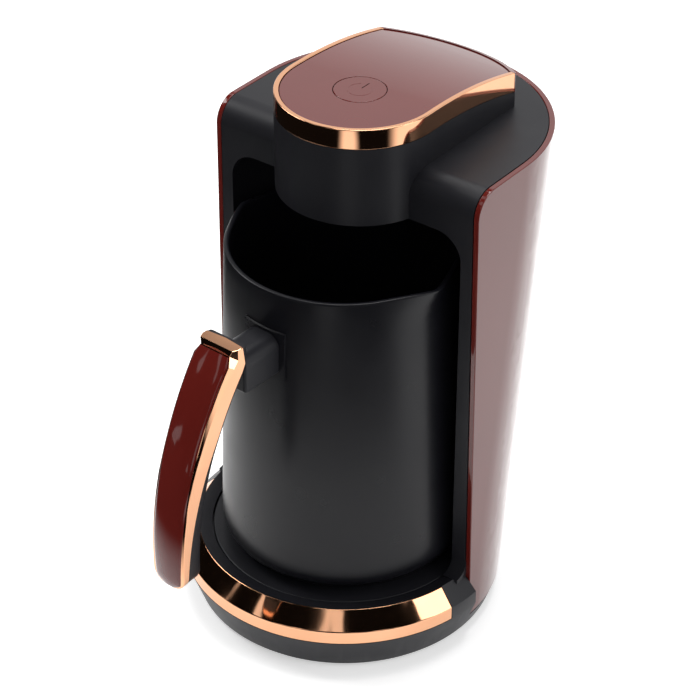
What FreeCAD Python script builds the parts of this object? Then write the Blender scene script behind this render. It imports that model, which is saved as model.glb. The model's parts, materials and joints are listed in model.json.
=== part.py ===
"""Electric Turkish coffee maker: a base with a lift-off pot, a leaning column and a head with a push button.

Millimetres. +Z is up, the front is -Y, and the origin is on the table under the middle of the pot.
"""

import FreeCAD, Part
import math
import os
from types import SimpleNamespace

import Sketcher

V = FreeCAD.Vector
UP = V(0, 0, 1)

SIZES = [
    ("foot_gap", 1.2, "underside of the base above the table"),
    ("foot_radius", 6.0, "rubber foot"),
    ("foot_sunk", 1.0, "how far a foot sits in its pocket"),
    ("foot_inset", 17.0, "circle of feet inside the skirt's foot"),
    ("skirt_draw", 5.6, "how far the base skirt draws in towards its foot"),
    ("base_round", 1.6, "rounding under the skirt"),
    ("band_low", 18.6, "lower edge of the metal band"),
    ("band_top", 25.1, "upper edge of the metal band"),
    ("trim_run", 7.3, "width of the sloping trim, seen from above"),
    ("ring_land", 6.1, "black ring inside the trim, seen from above"),
    ("trim_inner_level", 32.7, "height of that inner edge"),
    ("trim_skin", 1.5, "thickness of the metal trim"),
    ("trim_angle", 154.0, "arc that the trim covers, in degrees"),
    ("base_wall", 4.4, "base wall behind the band"),
    ("floor_skin", 2.2, "bottom plate"),
    ("ledge_level", 28.8, "ledge that carries the column and the seat plate"),
    ("ledge_radius", 58.0, "inner radius of that ledge"),
    ("seat_level", 31.0, "top of the seat plate"),
    ("gap", 0.3, "clearance between parts that are put together"),
    ("column_front", -1.1, "front face of the column"),
    ("panel_low", 9.7, "lower edge of the glossy panel"),
    ("low_leg", 10.4, "leg of the column beside the bay, at that edge"),
    ("low_centre", 1.0, "centre of the column's rounded back there"),
    ("shoulder_level", 226.6, "top of the column"),
    ("top_leg", 8.1, "leg of the column beside the bay, at the top"),
    ("top_centre", 34.0, "centre of the rounded back at the top"),
    ("shoulder_round", 11.0, "rounding of the column's front upper edge"),
    ("panel_skin", 2.5, "thickness of the glossy panel"),
    ("wall", 2.2, "housing wall"),
    ("bay_gap", 4.3, "room between the pot's foot and the wall of the bay"),
    ("bay_top", 205.0, "ceiling of the bay and underside of the head"),
    ("bay_corner", 12.5, "upper corners of the bay's mouth"),
    ("foot_fillet", 7.0, "hollow between the base ring and the column's legs"),
    ("head_radius", 36.0, "rounded front of the head"),
    ("head_centre", 10.5, "centre of that rounding, and of the button"),
    ("tail_radius", 53.0, "rounded back of the head"),
    ("lid_level", 250.0, "top of the metal rim"),
    ("arch_start", 14.4, "where the lid begins to fall towards the back"),
    ("arch_radius", 231.0, "radius of that fall"),
    ("rim_height", 9.0, "metal rim of the lid"),
    ("rim_skin", 2.2, "metal rim, seen from above"),
    ("rim_ledge", 3.0, "ledge inside the rim under the lid plate"),
    ("lid_sunk", 0.5, "lid plate below the rim's top"),
    ("lid_skin", 2.0, "lid plate"),
    ("curve_gap", 0.05, "clearance between curved faces that seat on each other"),
    ("button_radius", 11.2, "push button"),
    ("button_travel", 1.2, "travel of the push button"),
    ("pot_rim_radius", 51.8, "pot at its rim"),
    ("pot_low_radius", 56.6, "pot at the level of its foot"),
    ("pot_foot", 31.3, "underside of the pot"),
    ("pot_rim", 181.9, "rim of the pot"),
    ("pot_corner", 10.0, "rounding at the pot's foot"),
    ("pot_wall", 2.4, "pot wall"),
    ("pot_floor", 48.0, "inside floor of the pot"),
    ("spout_reach", 4.3, "how far each spout stands out past the rim"),
    ("spout_half_angle", 17.0, "where a spout leaves the round rim, in degrees"),
    ("spout_depth", 26.0, "how far the spouts run down the wall"),
    ("spout_tip", 3.2, "rounding of the spout's tip"),
    ("pot_turn", -2.76, "how far the pot is turned on its seat, in degrees"),
    ("grip_radius", 154.0, "outer curve of the handle"),
    ("grip_reach", 117.3, "how far that curve reaches to the front"),
    ("grip_centre_z", 72.1, "centre of that curve"),
    ("grip_depth", 13.6, "thickness of the handle, front to back"),
    ("core_drop", 11.1, "centre of the inner curve below the outer one"),
    ("frame_depth", 6.1, "thickness of the handle's metal frame"),
    ("frame_drop", 20.4, "centre of that edge below the outer one"),
    ("grip_top", 170.0, "top of the handle"),
    ("grip_shoulder", 165.0, "where the handle's face starts"),
    ("grip_bottom", 64.0, "lower end of the handle"),
    ("grip_back", -74.0, "back of the handle at the top"),
    ("cap_front", -81.5, "front edge of the handle's flat top"),
    ("grip_top_half", 10.4, "half width of the handle at the top"),
    ("grip_low_half", 8.7, "half width of the handle at its lower end"),
    ("grip_round", 6.0, "corners of the handle's lower end"),
    ("inlay_depth", 2.2, "thickness of the handle's glossy inlay"),
    ("inlay_border", 1.7, "metal left beside the inlay"),
    ("arm_half", 8.6, "half width of the arm"),
    ("arm_low", 144.0, "underside of the arm"),
    ("arm_top", 162.5, "top of the arm"),
    ("arm_round", 6.0, "rounding of the arm's upper edges"),
    ("socket_half", 11.2, "half width of the flat seat on the pot wall"),
    ("socket_low", 140.5, "lower edge of that seat"),
    ("socket_top", 164.0, "upper edge of that seat"),
    ("socket_depth", 0.6, "how deep that seat is cut at its upper edge"),
    ("plug_radius", 9.5, "round plug that powers the pot"),
    ("plug_top", 38.5, "top of that plug"),
    ("collar_radius", 17.0, "collar of the plug in the seat plate"),
    ("contact_inner", 3.3, "radius of the inner contact ring of the plug"),
    ("contact_outer", 6.4, "radius of the outer contact ring of the plug"),
    ("contact_half", 0.5, "half thickness of a contact ring"),
    ("board_skin", 1.6, "circuit boards"),
    ("board_level", 236.0, "underside of the control board"),
    ("board_half", 25.0, "half width of the control board"),
    ("board_front", -10.0, "front edge of the control board"),
    ("board_long", 70.0, "length of the control board"),
    ("post_radius", 3.0, "screw posts under the boards"),
    ("post_pitch", 55.0, "distance between the posts, front to back"),
    ("switch_half", 3.2, "half width of the push switch"),
    ("switch_tall", 5.0, "push switch with its pin"),
    ("sensor_radius", 6.0, "sensor window over the pot"),
    ("power_gap", 1.5, "power board behind the bay wall"),
    ("power_half", 28.0, "half width of the power board"),
    ("power_low", 112.0, "lower edge of the power board"),
    ("power_tall", 72.0, "height of the power board"),
    ("part_deep", 11.0, "transformer, off its board"),
    ("plate_skin", 1.2, "steel heater plate"),
    ("element_radius", 30.0, "ring of the heating element"),
    ("element_tube", 3.3, "radius of its tube"),
    ("cord_hole", 4.5, "mains cord inlet, radius"),
    ("inlet_level", 17.5, "height of the mains cord inlet"),
]


class Size:
    """A length that keeps its value together with the sheet expression it comes from."""

    def __init__(self, value, text):
        self.value = float(value)
        self.text = text

    def __float__(self):
        return self.value

    def __add__(self, other):
        return Size(self.value + float(other), f"({self.text} + {words(other)})")

    def __sub__(self, other):
        return Size(self.value - float(other), f"({self.text} - {words(other)})")

    def __mul__(self, other):
        return Size(self.value * float(other), f"({self.text} * {words(other)})")

    def __truediv__(self, other):
        return Size(self.value / float(other), f"({self.text} / {words(other)})")

    def __radd__(self, other):
        return Size(float(other) + self.value, f"({words(other)} + {self.text})")

    def __rsub__(self, other):
        return Size(float(other) - self.value, f"({words(other)} - {self.text})")

    def __neg__(self):
        return Size(-self.value, f"(0 - {self.text})")


def words(length):
    """The expression of a Size, or of a plain number."""
    return length.text if isinstance(length, Size) else str(float(length))


def root(size):
    return Size(math.sqrt(size.value), f"sqrt({size.text})")


def far_side(radius, offset):
    """The other leg of a right triangle with this hypotenuse and leg."""
    return root(radius * radius - offset * offset)


doc = FreeCAD.newDocument("CoffeeMaker")
sheet = doc.addObject("Spreadsheet::Sheet", "Sizes")
for row, (alias, value, meaning) in enumerate(SIZES, start=1):
    sheet.set(f"A{row}", meaning)
    sheet.set(f"B{row}", str(value))
    sheet.setAlias(f"B{row}", alias)
doc.recompute()
s = SimpleNamespace(**{alias: Size(value, f"Sizes.{alias}") for alias, value, _ in SIZES})

s.bay_radius = s.pot_low_radius + s.bay_gap
s.ring_edge = s.bay_radius + s.gap
s.trim_inner_radius = s.ring_edge + s.ring_land
s.band_radius = s.trim_inner_radius + s.trim_run
s.base_low_radius = s.band_radius - s.skirt_draw
s.foot_circle = s.base_low_radius - s.foot_inset
s.low_half = s.bay_radius + s.low_leg
s.top_half = s.bay_radius + s.top_leg
s.grip_centre_y = s.grip_radius - s.grip_reach
s.core_radius = s.grip_radius - s.grip_depth
s.frame_radius = s.grip_radius - s.frame_depth

nodes = []


def node(item, label, turned=False):
    """Registers a finished sub-part under its own name, turned with the pot where it belongs to it."""
    if turned:
        item = group(item.Name + "Turned", item)
        item.Placement = FreeCAD.Placement(V(), FreeCAD.Rotation(UP, s.pot_turn.value))
    item.Label = label
    nodes.append(item)
    return item


def bind(item, **values):
    """Sets properties and ties each one that is a Size to the sheet."""
    for name, value in values.items():
        setattr(item, name, float(value))
        if isinstance(value, Size):
            item.setExpression(name, value.text)
    return item


def place(item, x=0.0, y=0.0, z=0.0, rotation=None):
    """Puts an object at a place whose coordinates may be sizes."""
    item.Placement = FreeCAD.Placement(V(float(x), float(y), float(z)), rotation or FreeCAD.Rotation())
    for axis, value in (("x", x), ("y", y), ("z", z)):
        if isinstance(value, Size):
            item.setExpression(f"Placement.Base.{axis}", value.text)
    return item


def body(name):
    return doc.addObject("PartDesign::Body", name)


def sketch(owner, plane, lift=0.0):
    """An empty sketch on one of a body's own origin planes, lifted along the plane's normal."""
    item = owner.newObject("Sketcher::SketchObject", owner.Name + "Sketch")
    support = [part for part in owner.Origin.OriginFeatures if part.Role == plane + "_Plane"][0]
    item.AttachmentSupport = [(support, "")]
    item.MapMode = "FlatFace"
    item.AttachmentOffset = FreeCAD.Placement(V(0, 0, float(lift)), FreeCAD.Rotation())
    if isinstance(lift, Size):
        item.setExpression("AttachmentOffset.Base.z", lift.text)
    return item


def pin(item, kind, first, value, name):
    """Adds a constraint and ties it to the sheet."""
    index = item.addConstraint(Sketcher.Constraint(kind, *first, float(value)))
    if isinstance(value, Size):
        item.renameConstraint(index, name)
        item.setExpression("Constraints." + name, value.text)


def outline(item, corners):
    """Draws a closed outline. A corner is (x, y), or (x, y, arc) where an arc leads to the next corner.

    An arc is (centre x, centre y, radius, anticlockwise).
    """
    starts = []
    ends = []
    for index, corner in enumerate(corners):
        after = corners[(index + 1) % len(corners)]
        here = V(float(corner[0]), float(corner[1]), 0)
        there = V(float(after[0]), float(after[1]), 0)
        if len(corner) == 2:
            item.addGeometry(Part.LineSegment(here, there))
            starts.append((index, 1))
            ends.append((index, 2))
            continue
        middle_x, middle_y, radius, anticlockwise = corner[2]
        circle = Part.Circle(V(float(middle_x), float(middle_y), 0), UP, float(radius))
        turns = [math.atan2(p.y - circle.Center.y, p.x - circle.Center.x) for p in (here, there)]
        if not anticlockwise:
            turns.reverse()
        item.addGeometry(Part.ArcOfCircle(circle, turns[0], turns[1]))
        starts.append((index, 1 if anticlockwise else 2))
        ends.append((index, 2 if anticlockwise else 1))
    for index, corner in enumerate(corners):
        after = (index + 1) % len(corners)
        item.addConstraint(Sketcher.Constraint("Coincident", *ends[index], *starts[after]))
        pin(item, "DistanceX", (-1, 1) + starts[index], corner[0], f"across{index}")
        pin(item, "DistanceY", (-1, 1) + starts[index], corner[1], f"along{index}")
        if len(corner) == 3:
            wide = abs(float(corners[after][0]) - float(corner[0]))
            tall = abs(float(corners[after][1]) - float(corner[1]))
            kind, middle = ("DistanceY", corner[2][1]) if wide >= tall else ("DistanceX", corner[2][0])
            pin(item, kind, (-1, 1, index, 3), middle, f"middle{index}")
    return item


def revolved(name, corners, angle=None):
    """A profile of radius and height turned round the Z axis, the whole way or by an angle about +X."""
    owner = body(name)
    profile = outline(sketch(owner, "XZ"), corners)
    feature = owner.newObject("PartDesign::Revolution", name + "Turn")
    feature.Profile = profile
    feature.ReferenceAxis = (profile, ["V_Axis"])
    if angle is None:
        feature.Angle = 360.0
    else:
        feature.Midplane = True
        bind(feature, Angle=angle)
    return owner


def extruded(name, plane, draw, length, lift=0.0, both_ways=False):
    """A sketch pushed along its plane's normal. draw fills in the sketch."""
    owner = body(name)
    profile = sketch(owner, plane, lift)
    draw(profile)
    feature = owner.newObject("PartDesign::Pad", name + "Pad")
    feature.Profile = profile
    bind(feature, Length=length)
    if both_ways:
        feature.SideType = "Symmetric"
    return owner


def lofted(name, low, low_level, high, high_level):
    """A body between two outlines at two heights."""
    owner = body(name)
    profile = outline(sketch(owner, "XY", low_level), low)
    upper = outline(sketch(owner, "XY", high_level), high)
    feature = owner.newObject("PartDesign::AdditiveLoft", name + "Loft")
    feature.Profile = profile
    feature.Sections = [upper]
    feature.Ruled = True
    return owner


def cylinder(name, radius, low, high, x=0.0, y=0.0):
    item = bind(doc.addObject("Part::Cylinder", name), Radius=radius, Height=high - low)
    return place(item, x, y, low)


def box(name, x, y, z):
    """A box between pairs of low and high coordinates."""
    item = bind(doc.addObject("Part::Box", name), Length=x[1] - x[0], Width=y[1] - y[0], Height=z[1] - z[0])
    return place(item, x[0], y[0], z[0])


def cut(name, base, *tools):
    item = doc.addObject("Part::Cut", name)
    item.Base = base
    item.Tool = tools[0] if len(tools) == 1 else fused(name + "Tools", *tools)
    return item


def fused(name, *shapes):
    item = doc.addObject("Part::MultiFuse", name)
    item.Shapes = list(shapes)
    return item


def common(name, *shapes):
    item = doc.addObject("Part::MultiCommon", name)
    item.Shapes = list(shapes)
    return item


def rounded(name, base, radius, wanted):
    """Rounds the edges of an object that a test picks out."""
    doc.recompute()
    item = doc.addObject("Part::Fillet", name)
    item.Base = base
    edges = [i + 1 for i, edge in enumerate(base.Shape.Edges) if wanted(edge)]
    item.Edges = [(index, float(radius), float(radius)) for index in edges]
    return item


def group(name, *shapes):
    """Separate solids that share one node."""
    item = doc.addObject("Part::Compound", name)
    item.Links = list(shapes)
    return item


def ring_points(radius, count, start):
    """Evenly spaced places on a circle round the origin, from a start angle in degrees."""
    for index in range(count):
        turn = math.radians(start + 360.0 * index / count)
        yield index, radius * math.cos(turn), radius * math.sin(turn)


def column_outline(half, centre, front, inset):
    """The column seen from above: a flat front, straight sides and a round back."""
    side = half - inset
    return [
        (-side, front),
        (side, front),
        (side, centre, (0.0, centre, side, True)),
        (-side, centre),
    ]


def column_at(level):
    """Half width of the column and centre of its rounded back at a height: it leans back as it rises."""
    share = (level - s.panel_low) / (s.shoulder_level - s.panel_low)
    half = s.low_half + (s.top_half - s.low_half) * share
    centre = s.low_centre + (s.top_centre - s.low_centre) * share
    return half, centre


def column_solid(name, inset):
    """The leaning body of the column, drawn in by an inset, and longer than it all round to be cut to shape."""
    low = s.panel_low - s.wall
    high = s.shoulder_level + s.wall
    front = s.column_front - s.wall * 2
    low_half, low_centre = column_at(low)
    high_half, high_centre = column_at(high)
    return lofted(
        name,
        column_outline(low_half, low_centre, front, inset),
        low,
        column_outline(high_half, high_centre, front, inset),
        high,
    )


def side_block(name, low, inset):
    """Everything between a floor and the column's rounded shoulder, seen from the side."""
    face = s.column_front + inset
    ceiling = s.shoulder_level - inset
    bend = s.shoulder_round - inset
    back = s.top_centre + s.top_half * 2
    corners = [
        (face, low),
        (back, low),
        (back, ceiling),
        (face + bend, ceiling, (face + bend, ceiling - bend, bend, True)),
        (face, ceiling - bend),
    ]
    return extruded(name, "YZ", lambda item: outline(item, corners), s.low_half * 4, both_ways=True)


def bay_solid(name, growth, low):
    """The pot's bay: a round well whose mouth has rounded upper corners."""
    radius = s.bay_radius + growth
    ceiling = s.bay_top + growth
    bend = s.bay_corner + growth
    corners = [
        (-radius, low),
        (radius, low),
        (radius, ceiling - bend, (radius - bend, ceiling - bend, bend, True)),
        (radius - bend, ceiling),
        (bend - radius, ceiling, (bend - radius, ceiling - bend, bend, True)),
        (-radius, ceiling - bend),
    ]
    mouth = extruded(name + "Mouth", "XZ", lambda item: outline(item, corners), s.bay_radius * 4, both_ways=True)
    well = cylinder(name + "Well", radius, low, ceiling)
    return common(name, mouth, well)


def head_outline(inset):
    """The head and its lid seen from above."""
    side = s.head_radius - inset
    tail = s.tail_radius - inset
    end = s.top_centre + far_side(tail, side)
    return [
        (side, s.head_centre),
        (side, end, (0.0, s.top_centre, tail, True)),
        (-side, end),
        (-side, s.head_centre, (0.0, s.head_centre, side, True)),
    ]


def head_prism(name, inset, low, high):
    return extruded(name, "XY", lambda item: outline(item, head_outline(inset)), high - low, low)


def arched_block(name, drop, low):
    """Everything under the lid's arched top, lowered by a drop, seen from the side."""
    front = s.head_centre - s.head_radius * 2
    back = s.top_centre + s.tail_radius * 1.2
    centre_level = s.lid_level - s.arch_radius
    radius = s.arch_radius - drop
    end = centre_level + far_side(radius, back - s.arch_start)
    corners = [
        (front, low),
        (back, low),
        (back, end, (s.arch_start, centre_level, radius, True)),
        (s.arch_start, s.lid_level - drop),
        (front, s.lid_level - drop),
    ]
    return extruded(name, "YZ", lambda item: outline(item, corners), s.head_radius * 4, both_ways=True)


def arched_layer(name, prism, upper_drop, lower_drop):
    """A layer of the lid between two depths below its arched top."""
    upper = arched_block(name + "Upper", upper_drop, s.bay_top)
    lower = arched_block(name + "Lower", lower_drop, s.bay_top - s.wall)
    return cut(name, common(name + "Block", prism, upper), lower)


def build_base():
    """Round base: skirt, ring, metal trim, bottom plate, feet and the seat with its plug."""
    inner = s.band_radius - s.base_wall - s.trim_skin * 2
    plate_edge = s.base_low_radius - s.wall
    plate_top = s.foot_gap + s.floor_skin
    skirt_rise = s.band_low - s.foot_gap
    ring_edge = s.ring_edge
    ring_level = s.seat_level + s.gap
    ledge_skin = s.wall
    profile = [
        (plate_edge, s.foot_gap),
        (s.base_low_radius - s.base_round, s.foot_gap),
        (s.base_low_radius, s.foot_gap + s.base_round),
        (s.band_radius, s.band_low),
        (s.band_radius, s.band_top),
        (s.trim_inner_radius, s.trim_inner_level),
        (ring_edge, ring_level),
        (ring_edge, s.ledge_level),
        (s.ledge_radius, s.ledge_level),
        (s.ledge_radius, s.ledge_level - ledge_skin),
        (plate_edge - s.wall, s.ledge_level - ledge_skin),
        (plate_edge - s.wall, plate_top),
        (plate_edge, plate_top),
    ]
    bowl = revolved("BaseBowl", profile)
    panel_inner = s.low_half - s.panel_skin - s.gap
    behind = box(
        "BaseBehind",
        (-s.band_radius * 2, s.band_radius * 2),
        (s.column_front, s.band_radius * 2),
        (s.panel_low, s.shoulder_level),
    )
    kept = cylinder("BaseKept", panel_inner, s.foot_gap, s.ledge_level)
    rear_cut = cut("BaseRearCut", behind, kept)
    trim_profile = [
        (s.band_radius - s.trim_skin, s.band_low),
        (s.band_radius, s.band_low),
        (s.band_radius, s.band_top),
        (s.trim_inner_radius, s.trim_inner_level),
        (s.trim_inner_radius - s.trim_skin, s.trim_inner_level - s.trim_skin * 1.4),
        (s.band_radius - s.trim_skin, s.band_top - s.trim_skin * 0.6),
    ]
    to_front = FreeCAD.Rotation(UP, -90)
    trim = revolved("TrimBand", trim_profile, s.trim_angle)
    place(trim, rotation=to_front)
    node(trim, "base_gold_trim")
    housing = cut("BaseTrimmed", bowl, rear_cut, trim)
    fillets = []
    for side in (-1, 1):
        near = s.bay_radius + s.gap
        far = s.low_half - s.panel_skin
        corners = [
            (s.column_front, s.ledge_level),
            (s.column_front, s.trim_inner_level + s.foot_fillet,
             (s.column_front - s.foot_fillet, s.trim_inner_level + s.foot_fillet, s.foot_fillet, False)),
            (s.column_front - s.foot_fillet, s.trim_inner_level),
            (s.column_front - s.foot_fillet, s.ledge_level),
        ]
        hollow = extruded(
            f"LegFillet{side + 1}", "YZ", lambda item: outline(item, corners), far - near,
            near if side > 0 else -far,
        )
        fillets.append(hollow)
    shell = fused("BaseShell", housing, *fillets)
    gland_seat = cylinder("GlandSeat", s.cord_hole + s.wall + s.gap, 0.0, s.base_low_radius)
    place(gland_seat, 0.0, s.ledge_radius * 0.5, s.inlet_level, FreeCAD.Rotation(V(1, 0, 0), -90))
    node(cut("BaseHousing", shell, gland_seat), "base_housing")

    feet = []
    pockets = []
    screws = []
    for index, x, y in ring_points(1.0, 4, 45.0):
        foot_x = s.foot_circle * x
        foot_y = s.foot_circle * y
        feet.append(cylinder(f"Foot{index}", s.foot_radius, 0.0, s.foot_gap + s.foot_sunk, foot_x, foot_y))
        pockets.append(
            cylinder(f"FootPocket{index}", s.foot_radius + s.gap, s.foot_gap - s.gap,
                     s.foot_gap + s.foot_sunk, foot_x, foot_y)
        )
    node(group("Feet", *feet), "rubber_feet")
    plate = cylinder("BottomPlate", plate_edge - s.gap, s.foot_gap, plate_top)
    for index, x, y in ring_points(1.0, 3, 90.0):
        screw_x = s.foot_circle * x
        screw_y = s.foot_circle * y
        head = cylinder(f"ScrewHead{index}", s.foot_radius * 0.5, s.foot_gap, s.foot_gap + s.floor_skin * 0.5,
                        screw_x, screw_y)
        shank = cylinder(f"ScrewShank{index}", s.foot_radius * 0.25, s.foot_gap, plate_top + s.floor_skin * 4,
                         screw_x, screw_y)
        screws.append(fused(f"Screw{index}", head, shank))
        pockets.append(cylinder(f"ScrewPocket{index}", s.foot_radius * 0.5 + s.gap, s.foot_gap - s.gap,
                                s.foot_gap + s.floor_skin * 0.5, screw_x, screw_y))
        pockets.append(cylinder(f"ScrewWay{index}", s.foot_radius * 0.25 + s.gap, s.foot_gap - s.gap,
                                plate_top + s.gap, screw_x, screw_y))
    node(cut("BottomPlateCut", plate, *pockets), "base_bottom_plate")
    node(group("BaseScrews", *screws), "base_screws")

    seat = cylinder("SeatDisc", s.bay_radius - s.gap, s.ledge_level, s.seat_level)
    hole = cylinder("SeatHole", s.collar_radius + s.gap, s.ledge_level - s.gap, s.seat_level + s.gap)
    node(cut("SeatPlate", seat, hole), "seat_plate")

    flange_low = s.ledge_level - s.wall
    plug_profile = [
        (0.0, flange_low - s.wall * 4),
        (s.collar_radius - s.wall, flange_low - s.wall * 4),
        (s.collar_radius - s.wall, flange_low),
        (s.collar_radius + s.wall * 2, flange_low),
        (s.collar_radius + s.wall * 2, s.ledge_level),
        (s.collar_radius, s.ledge_level),
        (s.collar_radius, s.seat_level),
        (s.plug_radius, s.seat_level),
        (s.plug_radius, s.plug_top - s.wall * 0.5),
        (s.plug_radius - s.wall * 0.5, s.plug_top),
        (0.0, s.plug_top),
    ]
    plug = revolved("Plug", plug_profile)
    slots = []
    contacts = []
    for index, radius in enumerate((s.contact_inner, s.contact_outer)):
        near = radius - s.contact_half
        far = radius + s.contact_half
        slot_top = s.plug_top + s.gap
        strip_top = s.plug_top - s.gap
        slot = [(near, s.seat_level), (far, s.seat_level), (far, slot_top), (near, slot_top)]
        strip = [(near, s.seat_level), (far, s.seat_level), (far, strip_top), (near, strip_top)]
        slots.append(revolved(f"ContactSlot{index}", slot))
        contacts.append(revolved(f"ContactRing{index}", strip))
    node(cut("PlugCut", plug, *slots), "base_plug")
    node(group("PlugContacts", *contacts), "plug_contacts")


def build_column():
    """Column housing with its bay, shoulder and head, and the glossy panel that wraps round it."""
    inside = s.panel_skin + s.gap
    housing_block = common(
        "ColumnBlock",
        column_solid("ColumnLoft", inside),
        side_block("ColumnSide", s.ledge_level, 0.0),
    )
    head_block = common(
        "HeadBlock",
        head_prism("HeadPad", 0.0, s.bay_top, s.lid_level),
        arched_block("HeadArch", s.rim_height + s.curve_gap, s.bay_top),
    )
    cavity = cut(
        "ColumnCavity",
        common(
            "ColumnCavityBlock",
            column_solid("CavityLoft", inside + s.wall),
            side_block("CavitySide", s.ledge_level - s.gap, s.wall),
        ),
        bay_solid("BayOuter", s.wall, s.panel_low),
    )
    head_cavity = head_prism("HeadCavity", s.wall, s.bay_top + s.wall, s.lid_level)
    bay = bay_solid("Bay", 0.0, s.panel_low)
    lens_hole = cylinder("LensHole", s.sensor_radius + s.gap, s.bay_top - s.gap, s.bay_top + s.wall * 2,
                         0.0, s.head_centre)
    shell = cut("ColumnShell", fused("ColumnWithHead", housing_block, head_block), bay, cavity, head_cavity,
                lens_hole)
    posts = []
    for index, (x, y) in enumerate(((-1, 0), (1, 0), (-1, 1), (1, 1))):
        posts.append(
            cylinder(f"BoardPost{index}", s.post_radius, s.bay_top + s.wall * 0.5, s.board_level,
                     s.board_half * 0.8 * x, s.board_front + s.post_radius * 1.5 + s.post_pitch * y)
        )
    bosses = []
    for index, (x, z) in enumerate(((-1, 0), (1, 0), (-1, 1), (1, 1))):
        boss = bind(doc.addObject("Part::Cylinder", f"PowerBoss{index}"), Radius=s.post_radius,
                    Height=s.bay_radius * 0.2 + s.wall + s.power_gap)
        place(boss, s.power_half * 0.75 * x, s.bay_radius * 0.8, s.power_low + s.power_tall * (0.1 + 0.8 * z),
              FreeCAD.Rotation(V(1, 0, 0), -90))
        bosses.append(boss)
    boss_trim = cylinder("BossTrim", s.bay_radius + s.wall * 0.5, s.ledge_level, s.bay_top)
    bosses_cut = cut("PowerBosses", fused("PowerBossSet", *bosses), boss_trim)
    node(fused("ColumnHousing", shell, bosses_cut, *posts), "column_housing")

    outer = common(
        "PanelBlock",
        column_solid("PanelOuter", 0.0),
        side_block("PanelSide", s.panel_low, 0.0),
    )
    hollow = column_solid("PanelInner", s.panel_skin)
    notch = cylinder("InletNotch", s.cord_hole + s.wall + s.gap, 0.0, s.band_radius)
    place(notch, 0.0, s.ledge_radius * 0.5, s.inlet_level, FreeCAD.Rotation(V(1, 0, 0), -90))
    node(cut("Panel", cut("PanelShell", outer, hollow), notch), "rear_panel")


def build_head():
    """Lid with its metal rim, the push button and the electronics under them."""
    rim_deep = s.rim_skin
    plate_low = s.lid_sunk + s.lid_skin
    ring = cut("RimRing", head_prism("RimPad", 0.0, s.bay_top, s.lid_level + s.wall),
               head_prism("RimHole", rim_deep, s.bay_top - s.wall, s.lid_level + s.wall * 2))
    wide = cut("LedgeRing", head_prism("LedgePad", rim_deep * 0.5, s.bay_top, s.lid_level + s.wall),
               head_prism("LedgeHole", rim_deep + s.rim_ledge, s.bay_top - s.wall, s.lid_level + s.wall * 2))
    rim = fused(
        "LidRim",
        arched_layer("RimUpper", ring, 0.0, s.rim_height),
        arched_layer("RimLedge", wide, plate_low + s.curve_gap, s.rim_height),
    )
    node(rim, "lid_gold_rim")

    plate = arched_layer("LidPlateLayer", head_prism("LidPlatePad", rim_deep + s.gap, s.bay_top, s.lid_level),
                         s.lid_sunk, plate_low)
    hole = cylinder("ButtonHole", s.button_radius + s.gap, s.lid_level - s.rim_height, s.lid_level + s.wall,
                    0.0, s.head_centre)
    node(cut("LidPlate", plate, hole), "lid_plate")

    top = s.lid_level - s.lid_sunk
    flange = s.lid_level - plate_low - s.gap
    stem = s.button_radius * 0.3
    corners = [
        (0.0, s.board_level + s.board_skin + s.switch_tall),
        (stem, s.board_level + s.board_skin + s.switch_tall),
        (stem, flange - s.wall * 0.7),
        (s.button_radius + s.wall * 0.8, flange - s.wall * 0.7),
        (s.button_radius + s.wall * 0.8, flange),
        (s.button_radius, flange),
        (s.button_radius, top),
        (0.0, top),
    ]
    cap = revolved("Button", corners)
    place(cap, 0.0, s.head_centre)
    node(cap, "button_cap")

    board_low = s.board_level
    board_top = s.board_level + s.board_skin
    board = box("ControlBoard", (-s.board_half, s.board_half), (s.board_front, s.board_front + s.board_long),
                (board_low, board_top))
    node(board, "control_board")
    reach = s.switch_half
    switch = box("SwitchBlock", (-reach, reach), (s.head_centre - reach, s.head_centre + reach),
                 (board_top, board_top + s.switch_tall - s.button_travel - s.gap))
    well = cylinder("SwitchWell", s.switch_half * 0.5 + s.gap, board_top + s.wall * 0.5,
                    board_top + s.switch_tall, 0.0, s.head_centre)
    node(cut("Switch", switch, well), "tact_switch")
    node(
        cylinder("SwitchPin", s.switch_half * 0.5, board_top + s.wall * 0.5 + s.button_travel + s.gap,
                 board_top + s.switch_tall, 0.0, s.head_centre),
        "switch_plunger",
    )
    led_y = s.head_centre + s.button_radius + s.wall * 2
    node(cylinder("StatusLamp", s.wall, board_top, board_top + s.wall, 0.0, led_y), "indicator_lamp")
    node(cylinder("Sounder", s.wall * 2.5, board_top, board_top + s.wall * 1.3, s.board_half * 0.4,
                  s.board_front + s.board_long * 0.8), "buzzer")
    node(cylinder("SensorLens", s.sensor_radius, s.bay_top, s.bay_top + s.wall, 0.0, s.head_centre), "sensor_lens")
    sensor_low = s.bay_top + s.wall
    node(box("SensorBoard", (-s.sensor_radius * 1.6, s.sensor_radius * 1.6),
             (s.head_centre - s.sensor_radius * 1.4, s.head_centre + s.sensor_radius * 1.4),
             (sensor_low, sensor_low + s.board_skin)), "sensor_board")


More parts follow.
